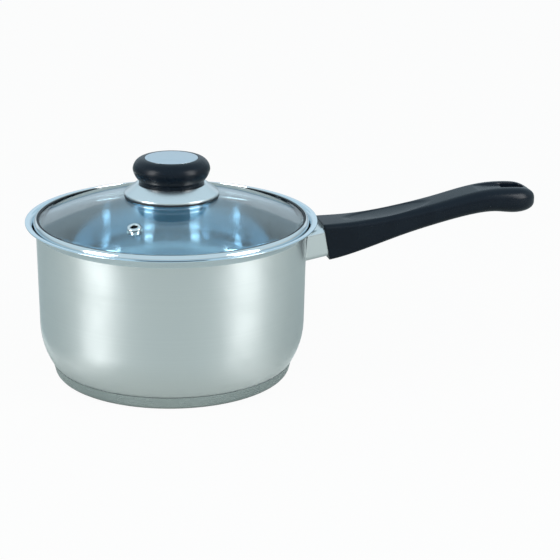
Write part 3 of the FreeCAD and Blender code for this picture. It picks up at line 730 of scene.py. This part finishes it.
@dataclass(frozen=True)
class Moulding:
    """A moulded plastic or rubber finish.

    Attributes:
        name: the material's name.
        colour: main colour.
        bloom: paler colour in the handled patches.
        roughness: mean roughness.
        ior: refractive index of its surface.
        texture: fineness of the mould's surface.
        depth: height of that texture in metres.
        gloss: strength of its mirror reflection; 0.5 is that of its refractive index.
    """

    HANDLING = {"Patch Scale": 60.0, "Least": 0.0, "Most": 1.0}
    WEAR = 0.14

    name: str
    colour: Colour
    bloom: Colour
    roughness: float
    ior: float = 1.58
    texture: float = 1400.0
    depth: float = 3e-6
    gloss: float = 0.5

    def material(self, effects: Effects) -> Material:
        """Build the finish.

        Args:
            effects: the shared shader groups.

        Returns:
            The material.
        """
        material, wiring = new_material(self.name)
        handled = grouped(wiring, effects.handling, self.HANDLING)
        skin = grouped(wiring, effects.lines[Grain.EVEN], {"Fineness": self.texture})
        colour = wiring.blend(handled, self.colour, self.bloom)
        rough = wiring.remap(
            handled, (1.0 - self.WEAR) * self.roughness, (1.0 + self.WEAR) * self.roughness,
        )
        bump = wiring.out("ShaderNodeBump", {"Height": skin, "Strength": 1.0, "Distance": self.depth})
        wiring.surface({
            "Base Color": colour, "Roughness": rough, "Normal": bump, "IOR": self.ior,
            "Specular IOR Level": self.gloss,
        })
        return material


@dataclass(frozen=True)
class Glass:
    """Clear tempered glass, a little deeper in tint towards its ground edge.

    Attributes:
        name: the material's name.
        colour: tint of the pane.
        edge_colour: tint at the rounded edge.
        edge_radius: distance from Z where the edge tint is full, in metres.
        ior: refractive index.
        roughness: roughness of the faces.
    """

    TINT_START = 0.93

    name: str
    colour: Colour
    edge_colour: Colour
    edge_radius: float
    ior: float = 1.5
    roughness: float = 0.01

    def material(self, _effects: Effects) -> Material:
        """Build the finish and return the material."""
        material, wiring = new_material(self.name)
        place = wiring.add("ShaderNodeTexCoord").outputs["Object"]
        start = self.TINT_START * self.edge_radius
        edge = wiring.remap(wiring.from_axis(place), 0.0, 1.0, start, self.edge_radius)
        colour = wiring.blend(edge, self.colour, self.edge_colour)
        wiring.surface({
            "Base Color": colour, "Roughness": self.roughness, "IOR": self.ior,
            "Transmission Weight": 1.0,
        })
        return material


class Finishes:
    """Every finish of the saucepan, by slot."""

    def __init__(self) -> None:
        """Build the materials."""
        effects = Effects()
        band = Extent.of("lid_band")
        made = {
            # The pan steel's polished tint is bluer than its satin colour: painted reflected light on
            # the pan's inside and lip.
            Slot.SATIN_STEEL: Metal("pan_steel", (0.725, 0.755, 0.75), 0.37, 0.08,
                                    stretch=0.75, polished_painted_tint=(0.66, 0.77, 0.84)),
            Slot.CAPSULE_STEEL: Metal("capsule_steel", (0.50, 0.55, 0.55), 0.26, 0.2, contrast=0.2),
            Slot.BRIGHT_STEEL: Metal("bright_steel", (0.76, 0.79, 0.80), 0.24, 0.08,
                                     depth=0.0, contrast=0.04),
            Slot.PLAIN_STEEL: Metal("plain_steel", (0.55, 0.58, 0.59), 0.3, 0.2, Grain.EVEN, 900.0),
            Slot.ZINC_STEEL: Metal("zinc_steel", (0.60, 0.62, 0.66), 0.28, 0.2, Grain.EVEN, 1200.0),
            Slot.ALUMINIUM_CORE: Metal("aluminium_core", (0.72, 0.73, 0.74), 0.45, 0.3,
                                       Grain.EVEN, 700.0),
            Slot.BRUSHED_DISC: Metal("brushed_disc", (0.64, 0.71, 0.77), 0.36, 0.3, contrast=0.25),
            Slot.TURNED_BRASS: Metal("turned_brass", (0.80, 0.60, 0.30), 0.25, 0.2),
            Slot.BLACK_BAKELITE: Moulding("black_bakelite", (0.003, 0.006, 0.011), (0.004, 0.008, 0.014),
                                          0.27, 1.45, gloss=0.22),
            Slot.DARK_SILICONE: Moulding("dark_silicone", (0.010, 0.013, 0.017), (0.018, 0.022, 0.027),
                                         0.55, 1.42, 900.0, 6e-6),
            Slot.TEMPERED_GLASS: Glass("tempered_glass", (0.86, 0.955, 0.98), (0.62, 0.84, 0.88),
                                       band.radius * MM),
        }
        self._by_slot = {slot: finish.material(effects) for slot, finish in made.items()}

    def __getitem__(self, slot: Slot) -> Material:
        """The material of a slot."""
        return self._by_slot[slot]


@dataclass
class Workshop:
    """What every sub-assembly builds with."""

    frame: dict
    finishes: Finishes
    lathe: Lathe

    def keep(self, slot: Slot, *nodes: str) -> None:
        """Dress frame nodes whose shape is right as it is."""
        for name in nodes:
            self.dress(self.frame["nodes"][name], slot)
            LOG.info("%s: frame node kept", name)

    def dress(self, piece: Object, slot: Slot) -> None:
        """Give a piece one finish."""
        piece.data.materials.clear()
        piece.data.materials.append(self.finishes[slot])

    def turned(
        self, name: str, spots: list[Spot], body: Body, slot: Slot, node: str, **settings: object,
    ) -> None:
        """Spin an outline in place of its node.

        Args:
            name: the piece's name.
            spots: its outline.
            body: the body it moves with.
            slot: the slot of its finish.
            node: the node it stands for.
            settings: the lathe's own settings.
        """
        fit(self.lathe.spin(name, spots, self.finishes[slot], **settings), body, slot, node)


# Pan


@dataclass
class PanBody:
    """The deep-drawn body with its rim, over a capsule base."""

    sheet: float = 0.6
    wall_lean: float = 0.86
    wall_radius: float = 80.5
    flare_height: float = 88.6
    belly_radius: float = 43.7
    heel_radius: float = 7.4
    heel_turn: float = 59.2
    flare_slope: float = 53.5
    bend_radius: float = 0.8
    lip_bend_radius: float = 1.4
    edge_softness: float = 0.25
    segments: int = 320

    def _walk(self, offset: float) -> Walk:
        """The outside face from the axis to the lip's edge, or a face inside it."""
        shell = Extent.of("pan_shell")
        inside = offset > 0.0
        wall = 90.0 - self.wall_lean
        heel_rise = self.heel_radius * (1.0 - cos(self.heel_turn))
        belly_rise = self.belly_radius * (cos(self.heel_turn) - cos(wall))
        length = (self.flare_height - shell.low.z - heel_rise - belly_rise) / sin(wall)
        belly_reach = self.belly_radius * (sin(wall) - sin(self.heel_turn))
        floor = self.wall_radius - length * cos(wall) - belly_reach - self.heel_radius * sin(
            self.heel_turn
        )
        bend_reach = self.bend_radius * (sin(wall) - sin(self.flare_slope))
        bend_rise = self.bend_radius * (cos(self.flare_slope) - cos(wall))
        lip_rise = self.lip_bend_radius * (1.0 - cos(self.flare_slope))
        rise = shell.high.z - self.sheet - self.flare_height
        slope = (rise - bend_rise - lip_rise) / sin(self.flare_slope)
        lip_reach = shell.radius - self.wall_radius - bend_reach - slope * cos(self.flare_slope)
        walk = Walk(0.0, shell.low.z, 0.0, offset, polish=1.0 if inside else 0.0)
        walk.ahead(floor, pieces=12)
        walk.bend(self.heel_radius, self.heel_turn)
        walk.bend(self.belly_radius, wall - self.heel_turn)
        walk.ahead(length, pieces=8)
        walk.polish = 1.0 if inside else 0.6
        walk.bend(self.bend_radius, self.flare_slope - wall)
        walk.ahead(slope)
        walk.bend(self.lip_bend_radius, -self.flare_slope)
        walk.ahead(lip_reach - self.lip_bend_radius * sin(self.flare_slope))
        return walk

    def build(self, shop: Workshop) -> None:
        """Make the body and dress the base."""
        spots = softened(sheet_outline(self._walk, self.sheet), self.edge_softness, ring=False)
        shop.turned(
            "pan_body", spots, Body.PAN, Slot.SATIN_STEEL, "pan_shell", ring=False,
            segments=self.segments,
        )
        shop.keep(Slot.CAPSULE_STEEL, "base_cover")
        shop.keep(Slot.ALUMINIUM_CORE, "base_core")


@dataclass(frozen=True)
class Screw:
    """A pan-head screw with a rolled thread and a cross recess."""

    shank: float = 2.5
    head: float = 4.25
    head_height: float = 2.8
    rounding: float = 1.26
    pitch: float = 0.8
    depth: float = 0.42
    lead: float = 0.5
    step: float = 0.1
    recess_span: float = 4.6
    recess_width: float = 1.1
    recess_depth: float = 1.5
    recess_taper: float = 0.7
    softness: float = 0.15
    segments: int = 48

    def _outline(self, length: float, thread: float) -> list[Spot]:
        """From the head's face, around the head and up the shank to its tip."""
        walk = Walk(0.0, -self.head_height, 0.0)
        walk.ahead(self.head - self.rounding).bend(self.rounding, 90.0).ahead(
            self.head_height - self.rounding
        )
        spots = softened(
            walk.spots + [Spot(self.shank, 0.0), Spot(self.shank, length - thread)], self.softness,
            False,
        )
        count = round((thread - self.lead) / self.step)
        for number in range(1, count + 1):
            share = min(1.0, number * self.step / self.pitch)
            spots.append(Spot(self.shank, length - thread + number * self.step, thread=share))
        tip = self.shank - self.lead
        return spots + [Spot(tip, length), Spot(0.0, length)]

    def _arm(self, long: float, wide: float) -> Object:
        """One tapered arm of the cross that is pressed out of the head."""
        work = bmesh.new()
        for vert in bmesh.ops.create_cube(work, size=1.0)["verts"]:
            bottom = vert.co.z < 0.0
            share = 1.0 if bottom else self.recess_taper
            level = (-self.softness if bottom else self.recess_depth) - self.head_height
            vert.co = Vector((vert.co.x * long * share, vert.co.y * wide * share, level)) * MM
        mesh = bpy.data.meshes.new("arm")
        work.to_mesh(mesh)
        work.free()
        return placed("arm", mesh)

    def make(self, shop: Workshop, name: str, length: float, thread: float, at: Matrix) -> Object:
        """Turn, thread and recess one screw.

        Args:
            shop: what it is made with.
            name: the piece's name.
            length: from under the head to the tip.
            thread: how much of that is threaded.
            at: where it belongs, its head's underside at the origin and its tip up Z.

        Returns:
            The screw.
        """
        sizes = {
            "segments": self.segments, "thread_depth": self.depth * MM, "thread_pitch": self.pitch * MM,
        }
        outline = self._outline(length, thread)
        made = shop.lathe.spin(
            f"{name}_blank", outline, shop.finishes[Slot.ZINC_STEEL], ring=False, **sizes,
        )
        for long, wide in ((self.recess_span, self.recess_width), (self.recess_width, self.recess_span)):
            made = cut(made, self._arm(long, wide))
        made.name = name
        made.data.transform(at)
        return made


@dataclass
class Handle:
    """The moulded grip, its long screw and the steel sleeve at the wall."""

    grain_size: float = 0.45
    smoothing: int = 10
    smoothing_share: float = 0.5
    screw_rise: float = 10.5
    screw_thread: float = 20.0
    hollow_start: float = 0.10
    hollow_end: float = 0.52
    hollow_width: float = 9.5
    hollow_depth: float = 0.9
    hollow_bank: float = 3.0
    top_facing: float = 0.3

    def _grip(self, shop: Workshop) -> Object:
        """A moulded copy of the grip with every edge softened."""
        node = shop.frame["nodes"]["handle_grip"]
        mesh = node.data.copy()
        work = bmesh.new()
        work.from_mesh(mesh)
        bmesh.ops.remove_doubles(work, verts=work.verts, dist=Lathe.WELD)
        work.to_mesh(mesh)
        work.free()
        blank = placed("grip_blank", mesh)
        remesh = blank.modifiers.new("remesh", "REMESH")
        remesh.mode = "VOXEL"
        remesh.voxel_size = self.grain_size * MM
        remesh.use_smooth_shade = True
        soft = blank.modifiers.new("soften", "SMOOTH")
        soft.factor = self.smoothing_share
        soft.iterations = self.smoothing
        made = baked("moulded_grip", blank)
        shop.dress(made, Slot.BLACK_BAKELITE)
        self._press_hollow(made)
        return made

    def _press_hollow(self, grip: Object) -> None:
        """Sink the long thumb hollow into the grip's top face."""
        box = Extent.of("handle_grip")
        start, end = (
            box.low.x + share * (box.high.x - box.low.x) for share in (
                self.hollow_start, self.hollow_end,
            )
        )
        tops = [(vert, vert.normal.z) for vert in grip.data.vertices
                if vert.normal.z > self.top_facing]
        for vert, upward in tops:
            along = (vert.co.x / MM - start) / (end - start)
            across = vert.co.y / MM / self.hollow_width
            room = max(0.0, 1.0 - (2.0 * along - 1.0) ** 2 - across ** 2)
            bank = math.sqrt(room) * min(1.0, self.hollow_bank * room)
            vert.co.z -= self.hollow_depth * MM * upward * bank
        grip.data.update()

    def _screw(self, shop: Workshop) -> Object:
        """The long screw, placed by the box of its node."""
        screw = Screw()
        box = Extent.of("handle_screw")
        rise, run = sin(self.screw_rise), cos(self.screw_rise)
        tip = Vector((box.low.x + screw.shank * rise, 0.0, box.low.z + screw.shank * run))
        face = box.high.x - screw.rounding - (screw.head - screw.rounding) * rise + screw.rounding * run
        length = (face - tip.x) / run - screw.head_height
        seat = tip + Vector((run, 0.0, rise)) * length
        turned = Matrix.Rotation(-math.radians(90.0 + self.screw_rise), 4, "Y")
        at = Matrix.Translation(seat * MM) @ turned
        return screw.make(shop, "long_screw", length, self.screw_thread, at)

    def build(self, shop: Workshop) -> None:
        """Make the grip and dress its fixing."""
        fit(self._grip(shop), Body.PAN, Slot.BLACK_BAKELITE, "handle_grip")
        shop.keep(Slot.BRIGHT_STEEL, "flame_guard")
        shop.keep(Slot.PLAIN_STEEL, "handle_bracket")
        fit(self._screw(shop), Body.PAN, Slot.ZINC_STEEL, "handle_screw")
        shop.keep(Slot.ZINC_STEEL, "bracket_nut", "handle_screw_washer")


# Lid


@dataclass
class LidEdge:
    """The rolled steel band and the soft seal around the glass."""

    bead_radius: float = 2.9
    band_sheet: float = 0.5
    band_foot: float = 1.4
    band_wrap: float = 158.0
    seal_sheet: float = 0.4
    seal_foot: float = 0.9
    seal_lip: float = 0.5
    softness: float = 0.12
    segments: int = 320

    def _walk(self, radius: float, foot: float, wrap: float, lip: float) -> Callable[[float], Walk]:
        """A path from under the glass, outwards, up and over its edge."""
        band = Extent.of("lid_band")
        centre = band.radius - self.bead_radius
        level = band.low.z + self.bead_radius

        def walk(offset: float) -> Walk:
            """Trace one face."""
            made = Walk(centre - foot, level - radius, 0.0, offset, polish=1.0)
            made.ahead(foot).bend(radius, wrap)
            return made.ahead(lip) if lip else made
        return walk

    def build(self, shop: Workshop) -> None:
        """Make both rings."""
        outside = self._walk(self.bead_radius, self.band_foot, self.band_wrap, 0.0)
        spots = softened(sheet_outline(outside, self.band_sheet), self.softness)
        shop.turned(
            "rolled_band", spots, Body.LID, Slot.BRIGHT_STEEL, "lid_band", segments=self.segments,
        )
        inside = self._walk(self.bead_radius - self.band_sheet, self.seal_foot, 180.0, self.seal_lip)
        spots = softened(sheet_outline(inside, self.seal_sheet), self.softness)
        shop.turned(
            "edge_seal", spots, Body.LID, Slot.DARK_SILICONE, "band_seal", segments=self.segments,
        )


@dataclass
class LidPane:
    """The glass and its steam vent."""

    dome_radius: float = 198.0
    knob_hole: float = 4.0
    vent_distance: float = 55.0
    vent_direction: float = -122.7
    bore: float = 2.0
    tube: float = 2.85
    flange: float = 4.1
    flange_height: float = 1.0
    gasket: float = 0.4
    curl: float = 0.4
    washer: float = 0.8
    glass: float = 4.0
    gap: float = 0.08
    throat_share: float = 0.4
    edge_share: float = 0.3
    softness: float = 0.14
    sharp_turn: float = 40.0
    segments: int = 96

    def _at_vent(self) -> Matrix:
        """The vent's place, its own Z square to the glass."""
        centre = Extent.of("lid_glass").high.z - math.sqrt(self.dome_radius ** 2 - self.knob_hole ** 2)
        level = centre + math.sqrt(self.dome_radius ** 2 - self.vent_distance ** 2)
        tilt = Matrix.Rotation(math.asin(self.vent_distance / self.dome_radius), 4, "Y")
        out = Matrix.Translation(Vector((self.vent_distance, 0.0, level)) * MM)
        return Matrix.Rotation(math.radians(self.vent_direction), 4, "Z") @ out @ tilt

    def _eyelet(self) -> list[Spot]:
        """A rounded flange, a tube through the glass and an end rolled outwards."""
        crown = self.gasket + self.flange_height
        foot = -self.glass - self.gap - self.washer
        curl_out = self.tube + self.curl
        throat = Spot(self.bore, crown - self.throat_share * self.flange_height, 1.0)
        shoulder = Spot((self.bore + self.flange) / 2, crown, 1.0)
        edge = Spot(self.flange, self.gasket + self.edge_share * self.flange_height, 1.0)
        under = [
            Spot(self.flange, self.gasket), Spot(self.tube, self.gasket), Spot(self.tube, foot),
            Spot(curl_out, foot), Spot(curl_out, foot - self.curl),
            Spot(self.bore, foot - self.curl, 1.0),
        ]
        return softened(through(throat, shoulder, edge) + under, self.softness, sharp=self.sharp_turn)

    def build(self, shop: Workshop) -> None:
        """Make the eyelet and dress the glass and its rings."""
        shop.turned("steam_eyelet", self._eyelet(), Body.LID, Slot.BRIGHT_STEEL, "vent_eyelet",
                    at=self._at_vent(), segments=self.segments)
        shop.keep(Slot.TEMPERED_GLASS, "lid_glass")
        shop.keep(Slot.BRIGHT_STEEL, "vent_washer")
        # The vent gasket is a real seal, and its dark ring also stands in for the shadow under the
        # eyelet's flange: partly painted shade.
        shop.keep(Slot.DARK_SILICONE, "vent_gasket")


@dataclass
class Knob:
    """The moulded knob with its skirt, disc and screw."""

    neck_radius: float = 19.35
    neck_height: float = 1.65
    waist_rise: float = 6.75
    under_bulge: tuple[float, float] = (0.65, 0.45)
    crown_bulge: tuple[float, float] = (0.74, 0.67)
    skirt_top: float = 20.1
    skirt_sheet: float = 0.6
    skirt_edge: float = 0.7
    edge_bend: float = 0.7
    shoulder_bend: float = 1.0
    boss_radius: float = 7.0
    boss_fit: float = 0.3
    insert_radius: float = 4.0
    insert_length: float = 12.0
    disc_fit: float = 0.1
    disc_thickness: float = 0.9
    disc_crown: float = 0.5
    washer_bore: float = 2.75
    threaded_share: float = 0.75
    softness: float = 0.35
    sheet_softness: float = 0.18
    fine_softness: float = 0.15
    sharp_turn: float = 20.0
    bulge_steps: int = 20
    segments: int = 192
    washer_segments: int = 96

    def _bulged(self, start: Spot, end: Spot, shares: tuple[float, float]) -> list[Spot]:
        """An arc between two points whose middle lies at shares of the way out and up."""
        up = shares[1] if end.height > start.height else 1.0 - shares[1]
        middle = Spot(start.radius + shares[0] * (end.radius - start.radius),
                      start.height + up * (end.height - start.height))
        return through(start, middle, end, self.bulge_steps)

    def _head(self) -> list[Spot]:
        """The moulded head on its neck, hollow for the disc and the insert."""
        body, skirt, disc = (Extent.of(node) for node in ("knob_body", "knob_skirt", "knob_cap"))
        seat, foot, rim = skirt.high.z, body.low.z, body.high.z
        cap_edge = disc.radius + self.disc_fit
        waist = Spot(body.radius, seat + self.neck_height + self.waist_rise)
        neck = Spot(self.neck_radius, seat + self.neck_height)
        under = self._bulged(neck, waist, self.under_bulge)
        over = self._bulged(Spot(cap_edge, rim), waist, self.crown_bulge)[::-1]
        hollow = [
            Spot(cap_edge, rim - self.disc_thickness), Spot(0.0, rim - self.disc_thickness),
            Spot(0.0, foot + self.insert_length), Spot(self.insert_radius, foot + self.insert_length),
            Spot(self.insert_radius, foot), Spot(self.boss_radius, foot), Spot(self.boss_radius, seat),
            Spot(self.neck_radius, seat),
        ]
        return softened(under + over[1:] + hollow, self.softness, sharp=self.sharp_turn)

    def _skirt_walk(self, offset: float) -> Walk:
        """The skirt's outside from its foot, up the cone and in to the boss."""
        skirt = Extent.of("knob_skirt")
        height = skirt.high.z - skirt.low.z
        slope = math.degrees(math.atan2(height - self.skirt_edge, skirt.radius - self.skirt_top))
        rise = height - self.skirt_edge - self.edge_bend * cos(slope) - self.shoulder_bend * (
            1.0 - cos(slope)
        )
        walk = Walk(skirt.radius, skirt.low.z, 90.0, offset)
        walk.ahead(self.skirt_edge).bend(self.edge_bend, 90.0 - slope).ahead(rise / sin(slope), pieces=4)
        walk.bend(self.shoulder_bend, slope)
        return walk.ahead(walk.radius - self.boss_radius - self.boss_fit, pieces=3)

    def _disc(self) -> list[Spot]:
        """The crowned metal disc with a bevelled edge."""
        cap = Extent.of("knob_cap")
        ball = (cap.radius ** 2 + self.disc_crown ** 2) / (2.0 * self.disc_crown)
        crown = dome(ball, cap.high.z - ball, 0.0, cap.radius)
        foot = crown[-1].height - self.disc_thickness
        return softened(
            crown + [Spot(cap.radius, foot), Spot(0.0, foot)], self.fine_softness, ring=False,
        )

    def _washer(self) -> list[Spot]:
        """The flat washer under the glass, its edges rolled over by the punch."""
        flat = Extent.of("knob_washer")
        corners = [Spot(self.washer_bore, flat.low.z), Spot(flat.radius, flat.low.z),
                   Spot(flat.radius, flat.high.z), Spot(self.washer_bore, flat.high.z)]
        return softened(corners, self.fine_softness)

    def _screw(self, shop: Workshop) -> Object:
        """The short screw up into the knob's insert."""
        screw = Screw()
        box = Extent.of("knob_screw")
        seat = box.low.z + screw.head_height
        at = Matrix.Translation((0.0, 0.0, seat * MM))
        length = box.high.z - seat
        return screw.make(shop, "short_screw", length, self.threaded_share * length, at)

    def build(self, shop: Workshop) -> None:
        """Make what shows of the knob and dress what it hides."""
        skirt = softened(sheet_outline(self._skirt_walk, self.skirt_sheet), self.sheet_softness)
        shop.turned(
            "knob_cone", skirt, Body.LID, Slot.BRIGHT_STEEL, "knob_skirt", segments=self.segments,
        )
        shop.turned(
            "knob_head", self._head(), Body.LID, Slot.BLACK_BAKELITE, "knob_body",
            segments=self.segments,
        )
        shop.turned("knob_disc", self._disc(), Body.LID, Slot.BRUSHED_DISC, "knob_cap",
                    ring=False, segments=self.segments)
        shop.turned("clamp_washer", self._washer(), Body.LID, Slot.PLAIN_STEEL, "knob_washer",
                    segments=self.washer_segments)
        fit(self._screw(shop), Body.LID, Slot.ZINC_STEEL, "knob_screw")
        # The skirt gasket is a real seal, and its dark ring also stands in for the shadow under the
        # skirt's foot: partly painted shade.
        shop.keep(Slot.DARK_SILICONE, "skirt_gasket", "hole_grommet", "knob_gasket_lower")
        shop.keep(Slot.TURNED_BRASS, "knob_insert")
        shop.keep(Slot.ZINC_STEEL, "knob_spring_washer")


# Studio


@dataclass(frozen=True)
class SoftBox:
    """A soft lamp that faces a point above the floor.

    Attributes:
        name: the lamp's name.
        bearing: degrees around the pan from the camera, positive to its right.
        height: height of its middle.
        distance: how far it stands from the pan's axis.
        width: width of its face.
        tall: height of its face.
        power: its power in watts.
    """

    name: str
    bearing: float
    height: float
    distance: float
    width: float
    tall: float
    power: float


@dataclass
class Studio:
    """A plain pale floor, soft lamps and the camera."""

    camera_distance: float = 1000.0
    camera_height: float = 385.2
    camera_bearing: float = 10.0
    pan: float = 3.724
    tilt: float = 18.243
    roll: float = 0.751
    lens: float = 112.02
    sensor: float = 36.0
    near_clip: float = 0.05
    floor_size: float = 12.0
    floor_tone: Colour = (0.47, 0.475, 0.44)
    floor_roughness: float = 0.9
    floor_glow: float = 0.95
    horizon: Colour = (0.52, 0.545, 0.53)
    behind: Colour = (0.22, 0.32, 0.40)
    overhead: Colour = (0.62, 0.80, 0.90)
    climb: tuple[float, float] = (0.05, 0.45)
    recede: tuple[float, float] = (0.10, 0.70)
    aim_height: float = 50.0
    boxes: tuple[SoftBox, ...] = (
        SoftBox("left_box", -62.0, 450.0, 900.0, 380.0, 620.0, 5.6),
        SoftBox("right_box", 62.0, 450.0, 900.0, 360.0, 620.0, 5.2),
        SoftBox("back_box", 180.0, 420.0, 1700.0, 2600.0, 520.0, 1.2),
    )

    def _camera(self) -> None:
        """Stand the camera and aim it."""
        bearing = math.radians(self.camera_bearing)
        place = Vector((-math.sin(bearing), -math.cos(bearing), 0.0)) * self.camera_distance
        place.z = self.camera_height
        turn = self.camera_bearing + self.pan
        ahead = Vector((sin(turn) * cos(self.tilt), cos(turn) * cos(self.tilt), -sin(self.tilt)))
        across = Vector((cos(turn), -sin(turn), 0.0))
        upward = across.cross(ahead)
        right = across * cos(self.roll) + upward * sin(self.roll)
        up = upward * cos(self.roll) - across * sin(self.roll)
        data = bpy.data.cameras.new("camera")
        data.lens = self.lens
        data.sensor_width = self.sensor
        data.clip_start = self.near_clip
        made = placed("camera", data)
        made.matrix_world = Matrix.Translation(place * MM) @ Matrix(
            (right, up, -ahead)
        ).transposed().to_4x4()
        bpy.context.scene.camera = made

    def _lamp(self, box: SoftBox) -> None:
        """Hang one soft lamp."""
        data = bpy.data.lights.new(box.name, "AREA")
        data.shape = "RECTANGLE"
        data.size = box.width * MM
        data.size_y = box.tall * MM
        data.energy = box.power
        turn = self.camera_bearing - box.bearing
        place = Vector((-sin(turn), -cos(turn), 0.0)) * box.distance
        place.z = box.height
        made = placed(box.name, data)
        made.location = place * MM
        made.rotation_euler = (
            Vector((0.0, 0.0, self.aim_height)) - place
        ).to_track_quat("-Z", "Y").to_euler()
        made.visible_camera = False

    def _floor(self) -> None:
        """Lay the pale floor under the pan."""
        half = self.floor_size / 2
        mesh = bpy.data.meshes.new("floor")
        corners = [(-half, -half, 0.0), (half, -half, 0.0), (half, half, 0.0), (-half, half, 0.0)]
        mesh.from_pydata(corners, [], [(0, 1, 2, 3)])
        material, wiring = new_material("pale_floor")
        matt = wiring.out(
            "ShaderNodeBsdfPrincipled",
            {"Base Color": (*self.floor_tone, 1.0), "Roughness": self.floor_roughness},
        )
        glow = wiring.out("ShaderNodeEmission", {"Color": WHITE})
        wiring.add("ShaderNodeOutputMaterial", {0: wiring.shown(matt, glow, self.floor_glow)})
        mesh.materials.append(material)
        floor = placed("floor", mesh)

    def _surroundings(self) -> None:
        """Pale room light, seen by the camera as plain white."""
        world = bpy.data.worlds.new("studio")
        world.use_nodes = True
        world.node_tree.nodes.clear()
        wiring = Wiring(world.node_tree)
        towards = wiring.add(
            "ShaderNodeSeparateXYZ", {0: wiring.add("ShaderNodeTexCoord").outputs["Generated"]},
        )
        back = wiring.remap(towards.outputs[1], 0.0, 1.0, *self.recede)
        up = wiring.remap(towards.outputs[2], 0.0, 1.0, *self.climb)
        tone = wiring.blend(up, wiring.blend(back, self.horizon, self.behind), self.overhead)
        room = wiring.out("ShaderNodeBackground", {"Color": tone})
        white = wiring.out("ShaderNodeBackground", {"Color": WHITE})
        wiring.add("ShaderNodeOutputWorld", {0: wiring.shown(room, white, 1.0)})
        bpy.context.scene.world = world

    def build(self) -> None:
        """Set up the studio."""
        self._camera()
        self._floor()
        self._surroundings()
        for box in self.boxes:
            self._lamp(box)
        bpy.context.scene.view_settings.view_transform = "Standard"


def main() -> None:
    """Build the saucepan's looks around the frame."""
    logging.basicConfig(level=logging.INFO, format="%(name)s %(message)s")
    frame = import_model()
    shop = Workshop(frame, Finishes(), Lathe())
    for assembly in (PanBody(), Handle(), LidEdge(), LidPane(), Knob()):
        assembly.build(shop)
    Studio().build()


if __name__ == "__main__":
    main()
